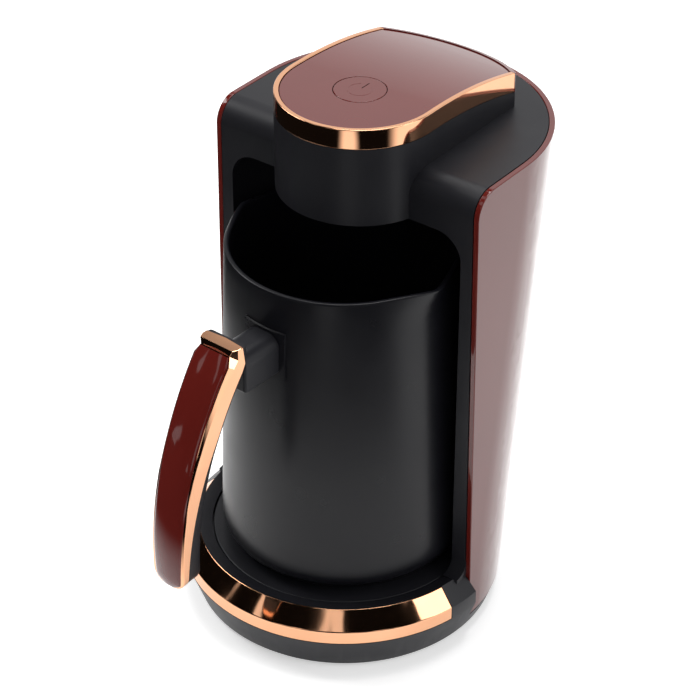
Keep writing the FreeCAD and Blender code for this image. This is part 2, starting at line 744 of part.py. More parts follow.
def build_power():
    """Mains side behind the bay: board, transformer, relay and the cord inlet."""
    face = s.bay_radius + s.wall + s.power_gap
    board_high = s.power_low + s.power_tall
    node(box("PowerBoard", (-s.power_half, s.power_half), (face, face + s.board_skin), (s.power_low, board_high)),
         "power_board")
    behind = face + s.board_skin
    depth = s.part_deep
    node(box("Transformer", (-s.power_half * 0.8, -s.power_half * 0.1), (behind, behind + depth),
             (s.power_low + s.power_tall * 0.55, s.power_low + s.power_tall * 0.9)), "transformer")
    node(box("Relay", (s.power_half * 0.15, s.power_half * 0.75), (behind, behind + depth * 0.9),
             (s.power_low + s.power_tall * 0.55, s.power_low + s.power_tall * 0.8)), "relay")
    low = s.low_half - s.panel_skin - s.wall * 2
    bush = [
        (s.cord_hole, low),
        (s.cord_hole + s.wall, low),
        (s.cord_hole + s.wall, s.low_half + s.wall),
        (s.cord_hole, s.low_half + s.wall),
    ]
    gland = revolved("Inlet", bush)
    place(gland, 0.0, 0.0, s.inlet_level, FreeCAD.Rotation(V(1, 0, 0), -90))
    node(gland, "cord_inlet")


def pot_radius(level, inset=0.0):
    """Radius of the pot's straight, tapered wall at a height."""
    fall = (s.pot_low_radius - s.pot_rim_radius) / (s.pot_rim - s.pot_foot)
    return s.pot_low_radius - fall * (level - s.pot_foot) - inset


def socket_face():
    """Plane of the flat seat that the arm is screwed to."""
    return s.socket_depth - pot_radius(s.socket_top)


def spout_outline(radius, reach, tip):
    """Rim seen from above: a circle drawn out to a small rounded spout on each side."""
    centre = radius + reach - tip
    leave = math.radians(s.spout_half_angle.value)
    flank_x = radius * math.cos(leave)
    flank_y = radius * math.sin(leave)
    run = centre - flank_x
    length = root(run * run + flank_y * flank_y)
    lean = math.atan2(run.value, flank_y.value) - math.asin(tip.value / length.value)
    tip_x = centre + tip * math.cos(lean)
    tip_y = tip * math.sin(lean)
    return [
        (flank_x, -flank_y),
        (tip_x, -tip_y, (centre, 0.0, tip, True)),
        (tip_x, tip_y),
        (flank_x, flank_y, (0.0, 0.0, radius, True)),
        (-flank_x, flank_y),
        (-tip_x, tip_y, (-centre, 0.0, tip, True)),
        (-tip_x, -tip_y),
        (-flank_x, -flank_y, (0.0, 0.0, radius, True)),
    ]


def plain_outline(radius):
    """The same eight stretches on a plain circle, so that the spouts grow out of it."""
    turns = (-s.spout_half_angle.value, -s.spout_half_angle.value * 0.2)
    right = [(radius * math.cos(math.radians(turn)), radius * math.sin(math.radians(turn))) for turn in turns]
    right += [(x, -y) for x, y in reversed(right)]
    left = [(-x, -y) for x, y in right]
    return [(x, y, (0.0, 0.0, radius, True)) for x, y in right + left]


def build_pot():
    """Pot with its two spouts, and the heater, thermostat and socket under its floor."""
    neck = s.pot_rim - s.spout_depth
    bend = s.pot_corner
    floor_edge = pot_radius(s.pot_floor, s.pot_wall)
    low_edge = pot_radius(s.pot_foot + bend)
    cover_radius = low_edge - bend
    cover_top = s.pot_foot + s.pot_wall
    heater_low = s.pot_floor - s.pot_wall * 0.5
    profile = [
        (cover_radius, s.pot_foot, (cover_radius, s.pot_foot + bend, bend, True)),
        (low_edge, s.pot_foot + bend),
        (pot_radius(neck), neck),
        (pot_radius(neck, s.pot_wall), neck),
        (floor_edge, s.pot_floor),
        (floor_edge - s.pot_wall, s.pot_floor),
        (floor_edge - s.pot_wall, heater_low),
        (floor_edge, heater_low),
        (low_edge - s.pot_wall, s.pot_foot + bend,
         (cover_radius, s.pot_foot + bend, bend - s.pot_wall, False)),
        (cover_radius, cover_top),
    ]
    owner = body("PotBody")
    turn_profile = outline(sketch(owner, "XZ"), profile)
    turn = owner.newObject("PartDesign::Revolution", "PotTurn")
    turn.Profile = turn_profile
    turn.ReferenceAxis = (turn_profile, ["V_Axis"])
    turn.Angle = 360.0
    for name, inset, kind in (("Spout", 0.0, "Additive"), ("SpoutHollow", s.pot_wall, "Subtractive")):
        neck_radius = pot_radius(neck, inset)
        rim_radius = s.pot_rim_radius - inset
        tip = s.spout_tip - inset * 0.6
        low = outline(sketch(owner, "XY", neck), plain_outline(neck_radius))
        high = outline(sketch(owner, "XY", s.pot_rim), spout_outline(rim_radius, s.spout_reach, tip))
        loft = owner.newObject(f"PartDesign::{kind}Loft", name)
        loft.Profile = low
        loft.Sections = [high]
        loft.Ruled = True
    face = socket_face()
    seat = box("ArmSeat", (-s.socket_half, s.socket_half), (face * 1.5, face),
               (s.socket_low, s.socket_top))
    node(cut("Pot", owner, seat), "pot_body", turned=True)

    heater_edge = floor_edge - s.gap * 0.5
    node(cylinder("HeaterPlate", heater_edge, s.pot_floor, s.pot_floor + s.plate_skin), "heater_plate")
    element = doc.addObject("Part::Torus", "Element")
    bind(element, Radius1=s.element_radius, Radius2=s.element_tube)
    place(element, 0.0, 0.0, s.pot_floor - s.element_tube)
    node(element, "heating_element")
    node(cylinder("Thermostat", s.plug_radius, s.pot_floor - s.wall * 2, s.pot_floor, 0.0, 0.0),
         "thermostat")
    socket_profile = [
        (s.plug_radius + s.gap * 2, s.pot_foot),
        (s.collar_radius - s.gap, s.pot_foot),
        (s.collar_radius - s.gap, cover_top),
        (s.collar_radius + s.wall, cover_top),
        (s.collar_radius + s.wall, cover_top + s.wall),
        (s.collar_radius - s.gap, cover_top + s.wall),
        (s.collar_radius - s.gap, s.plug_top + s.wall * 1.5),
        (0.0, s.plug_top + s.wall * 1.5),
        (0.0, s.plug_top + s.gap * 2),
        (s.plug_radius + s.gap * 2, s.plug_top + s.gap * 2),
    ]
    node(revolved("PotSocket", socket_profile), "pot_socket")
    cover = cylinder("PotCover", cover_radius - s.gap * 0.5, s.pot_foot, cover_top)
    hole = cylinder("PotCoverHole", s.collar_radius, s.pot_foot - s.gap, cover_top + s.gap)
    node(cut("PotCoverCut", cover, hole), "pot_bottom_cover")


def curve_at(radius, drop, level):
    """Where one of the handle's curves stands at a height."""
    return s.grip_centre_y - far_side(radius, level - (s.grip_centre_z - drop))


def build_handle():
    """Curved handle that hangs from its top: arm, black core, metal frame and glossy inlay."""
    outer = s.grip_radius
    centre_y = s.grip_centre_y
    centre_z = s.grip_centre_z
    back_level = s.grip_centre_z - s.core_drop + far_side(s.core_radius, s.grip_centre_y - s.grip_back)
    whole = [
        (s.cap_front, s.grip_top),
        (curve_at(outer, 0.0, s.grip_shoulder), s.grip_shoulder, (centre_y, centre_z, outer, True)),
        (curve_at(outer, 0.0, s.grip_bottom), s.grip_bottom),
        (curve_at(s.core_radius, s.core_drop, s.grip_bottom), s.grip_bottom,
         (centre_y, centre_z - s.core_drop, s.core_radius, False)),
        (s.grip_back, back_level),
        (s.grip_back, s.grip_top),
    ]
    frame_level = s.grip_centre_z - s.frame_drop + far_side(s.frame_radius, s.grip_centre_y - s.grip_back)
    frame = [
        (s.cap_front, s.grip_top),
        (curve_at(outer, 0.0, s.grip_shoulder), s.grip_shoulder, (centre_y, centre_z, outer, True)),
        (curve_at(outer, 0.0, s.grip_bottom), s.grip_bottom),
        (curve_at(s.frame_radius, s.frame_drop, s.grip_bottom), s.grip_bottom,
         (centre_y, centre_z - s.frame_drop, s.frame_radius, False)),
        (s.grip_back, frame_level),
        (s.grip_back, s.grip_top),
    ]
    inlay_radius = outer - s.inlay_depth
    inlay_low = s.grip_bottom + s.inlay_border
    inlay_top = s.grip_shoulder - s.inlay_border
    inlay = [
        (curve_at(outer, 0.0, inlay_top), inlay_top, (centre_y, centre_z, outer, True)),
        (curve_at(outer, 0.0, inlay_low), inlay_low),
        (curve_at(inlay_radius, 0.0, inlay_low), inlay_low, (centre_y, centre_z, inlay_radius, False)),
        (curve_at(inlay_radius, 0.0, inlay_top), inlay_top),
    ]

    def front_shape(name, border):
        low = s.grip_bottom + border
        bend = s.grip_round - border
        low_half = s.grip_low_half - border
        top_half = s.grip_top_half - border
        corners = [
            (low_half - bend, low, (low_half - bend, low + bend, bend, True)),
            (low_half, low + bend),
            (top_half, s.grip_top),
            (-top_half, s.grip_top),
            (-low_half, low + bend, (bend - low_half, low + bend, bend, True)),
            (bend - low_half, low),
        ]
        return extruded(name, "XZ", lambda item: outline(item, corners), s.grip_radius)

    def from_side(name, corners):
        return extruded(name, "YZ", lambda item: outline(item, corners), s.grip_top_half * 3, both_ways=True)

    face = front_shape("GripFace", 0.0)
    inner_face = front_shape("InlayFace", s.inlay_border)
    inlay_solid = common("Inlay", from_side("InlaySide", inlay), inner_face)
    node(inlay_solid, "handle_inlay", turned=True)
    frame_block = common("FrameBlock", from_side("FrameSide", frame), face)
    node(cut("Frame", frame_block, inlay_solid), "handle_gold_frame", turned=True)
    grip_block = common("GripBlock", from_side("GripSide", whole), front_shape("CoreFace", 0.0))
    node(cut("Core", grip_block, from_side("CoreCut", frame)), "handle_core", turned=True)

    bend = s.arm_round
    arm_corners = [
        (-s.arm_half, s.arm_low),
        (s.arm_half, s.arm_low),
        (s.arm_half, s.arm_top - bend, (s.arm_half - bend, s.arm_top - bend, bend, True)),
        (s.arm_half - bend, s.arm_top),
        (bend - s.arm_half, s.arm_top, (bend - s.arm_half, s.arm_top - bend, bend, True)),
        (-s.arm_half, s.arm_top - bend),
    ]
    face = socket_face()
    arm = extruded("ArmPad", "XZ", lambda item: outline(item, arm_corners), face - s.grip_back, -face)
    node(arm, "handle_arm", turned=True)


build_base()
build_column()
build_head()
build_power()
build_pot()
build_handle()
doc.recompute()

faults = [item.Label for item in doc.Objects if {"Invalid", "Error"} & set(item.State)]
faults += [item.Label for item in nodes if item.Shape.isNull() or not item.Shape.isValid()]
if faults:
    raise RuntimeError(f"failed to build: {sorted(set(faults))}")
os.makedirs("parts", exist_ok=True)
for item in nodes:
    item.Shape.exportStep(f"parts/{item.Label}.step")
    print(f"{item.Label}: {len(item.Shape.Solids)} solids, {item.Shape.Volume:.0f} cubic mm")
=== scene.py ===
"""Electric Turkish coffee maker: rounded housings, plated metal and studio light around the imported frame.

Metres. +Z is up, the front is -Y, and the origin is on the table under the middle of the pot.
"""

import json
import logging
import math
from dataclasses import dataclass
from enum import Enum
from typing import Any, Optional, Union

import bmesh
import bpy
from mathutils import Matrix, Vector


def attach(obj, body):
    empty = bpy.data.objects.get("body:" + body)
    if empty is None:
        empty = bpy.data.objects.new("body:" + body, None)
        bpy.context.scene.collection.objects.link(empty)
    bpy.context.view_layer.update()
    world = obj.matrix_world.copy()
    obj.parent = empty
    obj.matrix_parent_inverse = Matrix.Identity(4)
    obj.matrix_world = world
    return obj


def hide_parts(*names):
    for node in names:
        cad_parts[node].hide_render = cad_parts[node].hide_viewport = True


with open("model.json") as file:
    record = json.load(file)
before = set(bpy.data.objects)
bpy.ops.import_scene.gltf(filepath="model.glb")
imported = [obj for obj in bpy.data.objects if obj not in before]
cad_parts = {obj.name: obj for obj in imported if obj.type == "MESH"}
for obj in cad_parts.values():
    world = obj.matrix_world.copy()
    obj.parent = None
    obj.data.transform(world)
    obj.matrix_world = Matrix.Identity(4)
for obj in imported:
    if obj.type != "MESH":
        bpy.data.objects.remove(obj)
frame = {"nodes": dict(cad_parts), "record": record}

log = logging.getLogger("coffee_maker")

MM = 0.001
# Most of a noise's values lie between these two.
NOISE_LOW = 0.3
NOISE_HIGH = 0.7
# A wave texture turns through this many radians for each unit of its scaled coordinates.
WAVE_RATE = 20.0
# Numbers of the sockets that carry colours on a mix node.
MIX_FIRST, MIX_SECOND, MIX_RESULT = 6, 7, 2
# A point this near to a cutting plane lies on it.
ON_PLANE = 0.0001 * MM
# A grid of this size is one unit wide.
UNIT_GRID = 0.5
Colour = tuple[float, float, float, float]
Value = Union[float, Colour, Vector, bpy.types.NodeSocket]


class Body(Enum):
    """The moving bodies of the frame."""

    ROOT = "root"
    POT = "pot"
    BUTTON = "button"


class Slot(Enum):
    """The record's material slots."""

    BLACK = "black_plastic"
    BURGUNDY = "burgundy_gloss"
    ROSE_GOLD = "rose_gold"
    POT = "pot_black"
    RUBBER = "rubber"
    STEEL = "steel"
    BRASS = "brass_contact"
    BOARD = "circuit_board"
    COMPONENT = "component_black"
    RELAY = "component_blue"
    WINDOW = "smoked_window"
    LAMP = "lamp_clear"


def hex_to_linear(code: str) -> Colour:
    """Turns an sRGB hex colour into linear values.

    Args:
        code: Six hex digits, with or without a leading hash.

    Returns:
        Red, green, blue and a full alpha.
    """
    digits = code.lstrip("#")
    channels = [int(digits[start:start + 2], 16) / 255.0 for start in (0, 2, 4)]
    linear = [c / 12.92 if c <= 0.04045 else ((c + 0.055) / 1.055) ** 2.4 for c in channels]
    return linear[0], linear[1], linear[2], 1.0


def add_node(tree: bpy.types.NodeTree, kind: str, sockets: Optional[dict[Any, Value]] = None,
             **settings: Any) -> bpy.types.Node:
    """Adds a node, sets its properties and fills its inputs.

    Args:
        tree: The node tree that gets the node.
        kind: Blender's name of the node's type.
        sockets: For each input, a value to set or an output to link.
        **settings: The node's own properties.

    Returns:
        The new node.
    """
    node = tree.nodes.new(kind)
    for name, value in settings.items():
        setattr(node, name, value)
    for key, value in (sockets or {}).items():
        if isinstance(value, bpy.types.NodeSocket):
            tree.links.new(value, node.inputs[key])
        else:
            node.inputs[key].default_value = value
    return node


def grain(tree: bpy.types.NodeTree, size_mm: float, detail: float = 2.0) -> bpy.types.NodeSocket:
    """Adds noise on the piece's own coordinates.

    Args:
        tree: The node tree of the material.
        size_mm: Distance between two grains, in millimetres.
        detail: How many finer layers the noise has.

    Returns:
        The noise's factor, from 0 to 1.
    """
    place = add_node(tree, "ShaderNodeTexCoord")
    noise = add_node(tree, "ShaderNodeTexNoise",
                     {"Vector": place.outputs["Object"], "Scale": 1.0 / (size_mm * MM), "Detail": detail})
    return noise.outputs["Fac"]


def spread(tree: bpy.types.NodeTree, source: bpy.types.NodeSocket, low: float,
           high: float) -> bpy.types.NodeSocket:
    """Maps the middle of a noise to a range.

    Args:
        tree: The node tree of the material.
        source: The noise.
        low: Value at the noise's low side.
        high: Value at the noise's high side.

    Returns:
        The mapped value.
    """
    node = add_node(tree, "ShaderNodeMapRange",
                    {"Value": source, "From Min": NOISE_LOW, "From Max": NOISE_HIGH,
                     "To Min": low, "To Max": high})
    return node.outputs["Result"]


def ramp(tree: bpy.types.NodeTree, source: bpy.types.NodeSocket, start: float,
         end: float) -> bpy.types.NodeSocket:
    """Turns a measure into a soft step from 0 to 1.

    Args:
        tree: The node tree of the material.
        source: The measure.
        start: Where the step is still 0.
        end: Where it has reached 1.

    Returns:
        The step.
    """
    low, high = min(start, end), max(start, end)
    ends = {"To Min": 0.0, "To Max": 1.0} if start < end else {"To Min": 1.0, "To Max": 0.0}
    node = add_node(tree, "ShaderNodeMapRange", {"Value": source, "From Min": low, "From Max": high, **ends},
                    interpolation_type="SMOOTHSTEP")
    return node.outputs["Result"]


def product(tree: bpy.types.NodeTree, *factors: bpy.types.NodeSocket) -> bpy.types.NodeSocket:
    """Multiplies several measures.

    Args:
        tree: The node tree of the material.
        *factors: The measures.

    Returns:
        Their product.
    """
    total = factors[0]
    for factor in factors[1:]:
        total = add_node(tree, "ShaderNodeMath", {0: total, 1: factor}, operation="MULTIPLY").outputs[0]
    return total


def along(tree: bpy.types.NodeTree, source: bpy.types.NodeSocket, axis: Vector) -> bpy.types.NodeSocket:
    """Measures how far the direction of a point lies along an axis.

    Args:
        tree: The node tree of the material.
        source: The point.
        axis: The axis, of length 1.

    Returns:
        1 along the axis, 0 across it and -1 against it.
    """
    unit = add_node(tree, "ShaderNodeVectorMath", {0: source}, operation="NORMALIZE")
    share = add_node(tree, "ShaderNodeVectorMath", {0: unit.outputs["Vector"], 1: axis},
                     operation="DOT_PRODUCT")
    return share.outputs["Value"]


def tinted(tree: bpy.types.NodeTree, source: bpy.types.NodeSocket, first: str,
           second: str) -> bpy.types.NodeSocket:
    """Mixes two colours by a factor.

    Args:
        tree: The node tree of the material.
        source: The factor.
        first: Hex colour where the factor is 0.
        second: Hex colour where the factor is 1.

    Returns:
        The mixed colour.
    """
    node = add_node(tree, "ShaderNodeMix", data_type="RGBA")
    tree.links.new(source, node.inputs["Factor"])
    node.inputs[MIX_FIRST].default_value = hex_to_linear(first)
    node.inputs[MIX_SECOND].default_value = hex_to_linear(second)
    return node.outputs[MIX_RESULT]


def empty_tree(owner: Union[bpy.types.Material, bpy.types.World]) -> bpy.types.NodeTree:
    """Gives a material or a world an empty node tree.

    Args:
        owner: The material or the world.

    Returns:
        The node tree.
    """
    owner.use_nodes = True
    owner.node_tree.nodes.clear()
    return owner.node_tree


def start_material(name: str) -> tuple[bpy.types.Material, bpy.types.NodeTree, bpy.types.Node]:
    """Makes an empty material with one surface shader.

    Args:
        name: Name of the material.

    Returns:
        The material, its node tree and its surface shader.
    """
    material = bpy.data.materials.new(name)
    tree = empty_tree(material)
    shader = add_node(tree, "ShaderNodeBsdfPrincipled")
    add_node(tree, "ShaderNodeOutputMaterial", {"Surface": shader.outputs["BSDF"]})
    return material, tree, shader


def fill_sockets(shader: bpy.types.Node, **values: Value) -> None:
    """Sets constant values on the shader's own sockets.

    Args:
        shader: The surface shader.
        **values: Socket names with underscores for blanks, and their values.
    """
    for name, value in values.items():
        shader.inputs[name.replace("_", " ")].default_value = value


def add_bump(tree: bpy.types.NodeTree, shader: bpy.types.Node, height: bpy.types.NodeSocket,
             depth_mm: float) -> None:
    """Gives a shader a surface relief.

    Args:
        tree: The node tree of the material.
        shader: The surface shader.
        height: The relief, from 0 to 1.
        depth_mm: Height of the relief in millimetres.
    """
    bump = add_node(tree, "ShaderNodeBump", {"Height": height, "Distance": depth_mm * MM, "Strength": 1.0})
    tree.links.new(bump.outputs["Normal"], shader.inputs["Normal"])


@dataclass(frozen=True)
class MouldedPlastic:
    """Satin skin of ABS or rubber from a spark-eroded tool, or of a sprayed coating.

    Its fine grain breaks up highlights, and is drawn coarser than the real one, so that it shows.
    """

    name: str
    colour: str
    pale_colour: str
    roughness: float = 0.4
    roughness_spread: float = 0.05
    grain_mm: float = 0.7
    grain_depth_mm: float = 0.012
    patch_mm: float = 24.0
    specular: float = 0.25

    def make(self) -> bpy.types.Material:
        """Builds the material.

        Returns:
            The material.
        """
        material, tree, shader = start_material(self.name)
        fill_sockets(shader, Metallic=0.0, IOR=1.53, Specular_IOR_Level=self.specular)
        patches = grain(tree, self.patch_mm)
        tree.links.new(tinted(tree, patches, self.colour, self.pale_colour), shader.inputs["Base Color"])
        rough = spread(tree, patches, self.roughness - self.roughness_spread,
                       self.roughness + self.roughness_spread)
        tree.links.new(rough, shader.inputs["Roughness"])
        add_bump(tree, shader, grain(tree, self.grain_mm), self.grain_depth_mm)
        return material


@dataclass(frozen=True)
class GlossPlastic:
    """Piano-gloss ABS under clear lacquer: deep colour, sharp reflections and a faint orange peel."""

    name: str
    colour: str
    deep_colour: str
    roughness: float = 0.16
    coat_roughness: float = 0.02
    specular: float = 0.08
    cloud_mm: float = 40.0
    peel_mm: float = 6.0
    peel_depth_mm: float = 0.010

    def make(self) -> bpy.types.Material:
        """Builds the material.

        Returns:
            The material.
        """
        material, tree, shader = start_material(self.name)
        fill_sockets(shader, Metallic=0.0, IOR=1.5, Roughness=self.roughness,
                     Specular_IOR_Level=self.specular, Coat_Weight=1.0, Coat_Roughness=self.coat_roughness,
                     Coat_IOR=1.5)
        tree.links.new(tinted(tree, grain(tree, self.cloud_mm), self.colour, self.deep_colour),
                       shader.inputs["Base Color"])
        add_bump(tree, shader, grain(tree, self.peel_mm, 0.0), self.peel_depth_mm)
        return material


@dataclass(frozen=True)
class PlatedMetal:
    """Rose-gold electroplate on polished plastic: a mirror with the faint waviness of the moulding."""

    name: str
    colour: str
    haze_colour: str
    roughness: float = 0.07
    roughness_share: float = 0.3
    haze_mm: float = 18.0
    wave_mm: float = 22.0
    wave_depth_mm: float = 0.22

    def make(self) -> bpy.types.Material:
        """Builds the material.

        Returns:
            The material.
        """
        material, tree, shader = start_material(self.name)
        fill_sockets(shader, Metallic=1.0)
        haze = grain(tree, self.haze_mm)
        tree.links.new(tinted(tree, haze, self.colour, self.haze_colour), shader.inputs["Base Color"])
        rough = spread(tree, haze, self.roughness * (1.0 - self.roughness_share),
                       self.roughness * (1.0 + self.roughness_share))
        tree.links.new(rough, shader.inputs["Roughness"])
        add_bump(tree, shader, grain(tree, self.wave_mm, 0.0), self.wave_depth_mm)
        return material


@dataclass(frozen=True)
class BrushedMetal:
    """Sheet turned on a lathe: rings round the pot's axis stretch each highlight.

    The rings are drawn coarser than real ones, so that they show.
    """

    name: str
    colour: str
    dark_colour: str
    roughness: float = 0.3
    roughness_share: float = 0.2
    ring_mm: float = 5.655
    ring_waver: float = 1.5
    ring_detail: float = 3.0
    ring_depth_mm: float = 0.01

    def make(self) -> bpy.types.Material:
        """Builds the material.

        Returns:
            The material.
        """
        material, tree, shader = start_material(self.name)
        fill_sockets(shader, Metallic=1.0)
        place = add_node(tree, "ShaderNodeTexCoord")
        scale = math.tau / (WAVE_RATE * self.ring_mm * MM)
        rings = add_node(tree, "ShaderNodeTexWave",
                         {"Vector": place.outputs["Object"], "Scale": scale,
                          "Distortion": self.ring_waver, "Detail": self.ring_detail},
                         wave_type="RINGS", rings_direction="Z")
        tree.links.new(tinted(tree, rings.outputs["Fac"], self.colour, self.dark_colour),
                       shader.inputs["Base Color"])
        rough = spread(tree, rings.outputs["Fac"], self.roughness * (1.0 - self.roughness_share),
                       self.roughness * (1.0 + self.roughness_share))
        tree.links.new(rough, shader.inputs["Roughness"])
        add_bump(tree, shader, rings.outputs["Fac"], self.ring_depth_mm)
        return material


@dataclass(frozen=True)
class SolderMask:
    """Green lacquer over copper tracks: the tracks stand out as slightly paler lanes."""

    name: str
    colour: str
    track_colour: str
    roughness: float = 0.35
    track_mm: float = 2.2
    track_depth_mm: float = 0.03

    def make(self) -> bpy.types.Material:
        """Builds the material.

        Returns:
            The material.
        """
        material, tree, shader = start_material(self.name)
        fill_sockets(shader, Metallic=0.0, IOR=1.5, Roughness=self.roughness)
        place = add_node(tree, "ShaderNodeTexCoord")
        cells = add_node(tree, "ShaderNodeTexVoronoi",
                         {"Vector": place.outputs["Object"], "Scale": 1.0 / (self.track_mm * MM)},
                         distance="MANHATTAN")
        tree.links.new(tinted(tree, cells.outputs["Distance"], self.track_colour, self.colour),
                       shader.inputs["Base Color"])
        add_bump(tree, shader, cells.outputs["Distance"], self.track_depth_mm)
        return material


class FinishBook:
    """Every finish of the machine, by material slot."""

    def __init__(self) -> None:
        """Builds all the materials once."""
        recipes = {
            Slot.BLACK: MouldedPlastic("satin_abs_black", "#1b1b1f", "#202025"),
            Slot.BURGUNDY: GlossPlastic("lacquered_abs_burgundy", "#661e19", "#5c1914"),
            Slot.ROSE_GOLD: PlatedMetal("rose_gold_plate", "#f0b690", "#e8ab83"),
            Slot.POT: MouldedPlastic("nonstick_coating_black", "#111115", "#15151a", roughness=0.3,
                                     roughness_spread=0.03, grain_mm=0.5, grain_depth_mm=0.004,
                                     specular=0.24),
            Slot.RUBBER: MouldedPlastic("feet_rubber", "#1b1b1b", "#242424", roughness=0.8,
                                        roughness_spread=0.06, grain_mm=1.2, grain_depth_mm=0.03),
            Slot.STEEL: BrushedMetal("turned_steel", "#b9b8b6", "#9c9b99"),
            Slot.BRASS: BrushedMetal("contact_brass", "#cfa75a", "#b38c45", roughness=0.25),
            Slot.BOARD: SolderMask("board_solder_mask", "#0f5a2d", "#2f8a4d"),
            Slot.COMPONENT: MouldedPlastic("component_epoxy", "#1c1c1e", "#252528", roughness=0.5,
                                           grain_mm=0.4),
            Slot.RELAY: MouldedPlastic("relay_polyester", "#1d4f9c", "#23589f", roughness=0.3,
                                       roughness_spread=0.04, grain_mm=0.8),
            Slot.WINDOW: GlossPlastic("smoked_window", "#1a0808", "#120505"),
            Slot.LAMP: GlossPlastic("lamp_lens", "#e8e6df", "#dedcd4"),
        }
        self._materials = {slot: recipe.make() for slot, recipe in recipes.items()}

    def dress(self, piece: bpy.types.Object, slot: Slot) -> None:
        """Gives a piece the finish of a slot.

        Args:
            piece: The object to dress.
            slot: The finish to give it.
        """
        if piece.data.materials:
            for index in range(len(piece.data.materials)):
                piece.data.materials[index] = self._materials[slot]
        else:
            piece.data.materials.append(self._materials[slot])


@dataclass
class Workshop:
    """Shared tools that turn bmesh shapes and copies of CAD nodes into finished pieces."""

    finishes: FinishBook
    merge_distance: float = 0.002 * MM
    flat_angle: float = math.radians(0.6)
    sharp_angle: float = math.radians(32.0)
    pot_turn: float = math.radians(-2.76)

    def add_piece(self, name: str, shape: bmesh.types.BMesh, slot: Slot, body: Body,
                  smooth_below: float = math.radians(35.0)) -> bpy.types.Object:
        """Turns a bmesh into an object that rides on a body.

        Args:
            name: Name of the piece.
            shape: The finished shape in the frame, freed here.
            slot: Its finish.
            body: The body it rides on.
            smooth_below: Edges flatter than this angle are shaded smooth.

        Returns:
            The new object.
        """
        mesh = bpy.data.meshes.new(name)
        shape.to_mesh(mesh)
        shape.free()
        mesh.polygons.foreach_set("use_smooth", [True] * len(mesh.polygons))
        mesh.set_sharp_from_angle(angle=smooth_below)
        piece = bpy.data.objects.new(name, mesh)
        bpy.context.scene.collection.objects.link(piece)
        self.finishes.dress(piece, slot)
        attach(piece, body.value)
        log.info("%s: %d faces", name, len(mesh.polygons))
        return piece

    def copy_node(self, node: str) -> bmesh.types.BMesh:
        """Copies a CAD node's mesh, merges its loose triangles and joins what is flat.

        Args:
            node: Name of the CAD node.

        Returns:
            The merged copy.
        """
        shape = bmesh.new()
        shape.from_mesh(frame["nodes"][node].data)
        bmesh.ops.remove_doubles(shape, verts=shape.verts[:], dist=self.merge_distance)
        bmesh.ops.dissolve_limit(shape, angle_limit=self.flat_angle, verts=shape.verts[:],
                                 edges=shape.edges[:])
        return shape

    def round_edges(self, shape: bmesh.types.BMesh, width: float, segments: int = 3,
                    sharp: Optional[float] = None) -> None:
        """Rounds the sharp edges of a shape.

        Args:
            shape: The merged shape.
            width: Width of the rounding in metres.
            segments: Faces across the rounding.
            sharp: Edges above this angle are rounded, or above the shop's own angle if None.
        """
        limit = sharp or self.sharp_angle
        edges = [edge for edge in shape.edges if edge.is_manifold and edge.calc_face_angle() > limit]
        bmesh.ops.bevel(shape, geom=edges, offset=width, offset_type="OFFSET", segments=segments,
                        profile=0.5, affect="EDGES", clamp_overlap=True, material=-1, loop_slide=True)

    def turn_with_pot(self, shape: bmesh.types.BMesh) -> None:
        """Turns a shape as the pot and its handle stand, a little off the machine's middle plane."""
        bmesh.ops.rotate(shape, cent=Vector(), matrix=Matrix.Rotation(self.pot_turn, 3, "Z"),
                         verts=shape.verts[:])

    def add_even(self, name: str, shape: bmesh.types.BMesh, slot: Slot, body: Body) -> bpy.types.Object:
        """Adds a rounded piece whose flat faces keep an even shade.

        Args:
            name: Name of the piece.
            shape: The finished shape.
            slot: Its finish.
            body: The body it rides on.

        Returns:
            The new piece.
        """
        piece = self.add_piece(name, shape, slot, body)
        piece.modifiers.new("face_normals", "WEIGHTED_NORMAL").keep_sharp = True
        return piece

    def soften(self, node: str, slot: Slot, body: Body, width: float, segments: int = 3,
               sharp: Optional[float] = None) -> bpy.types.Object:
        """Shows a CAD node with its sharp edges rounded.

        Args:
            node: Name of the CAD node, which the new piece replaces.
            slot: Finish of the new piece.
            body: The body it rides on.
            width: Width of the rounding in metres.
            segments: Faces across the rounding.
            sharp: Edges above this angle are rounded, or above the shop's own angle if None.

        Returns:
            The new piece.
        """
        shape = self.copy_node(node)
        self.round_edges(shape, width, segments, sharp)
        piece = self.add_even(node + "_shown", shape, slot, body)
        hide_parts(node)
        return piece


@dataclass
class BaseLook:
    """Round base with its trim, seat and feet."""

    shop: Workshop
    housing_round: float = 0.8 * MM
    trim_round: float = 0.5 * MM
    # Edges of the trim above this angle are rounded.
    trim_sharp: float = math.radians(24.0)
    seat_round: float = 0.6 * MM

    def build(self) -> None:
        """Builds the visible pieces of the base."""
        self.shop.soften("base_housing", Slot.BLACK, Body.ROOT, self.housing_round)
        self.shop.soften("base_gold_trim", Slot.ROSE_GOLD, Body.ROOT, self.trim_round,
                         sharp=self.trim_sharp)
        self.shop.soften("seat_plate", Slot.BLACK, Body.ROOT, self.seat_round)


@dataclass
class ColumnLook:
    """Leaning column: black housing with the bay and the head, and the glossy wrap."""

    shop: Workshop
    housing_round: float = 1.6 * MM
    wrap_round: float = 1.2 * MM
    inlet_round: float = 0.5 * MM

    def build(self) -> None:
        """Builds the visible pieces of the column."""
        self.shop.soften("column_housing", Slot.BLACK, Body.ROOT, self.housing_round)
        self.shop.soften("rear_panel", Slot.BURGUNDY, Body.ROOT, self.wrap_round)
        self.shop.soften("cord_inlet", Slot.BLACK, Body.ROOT, self.inlet_round)


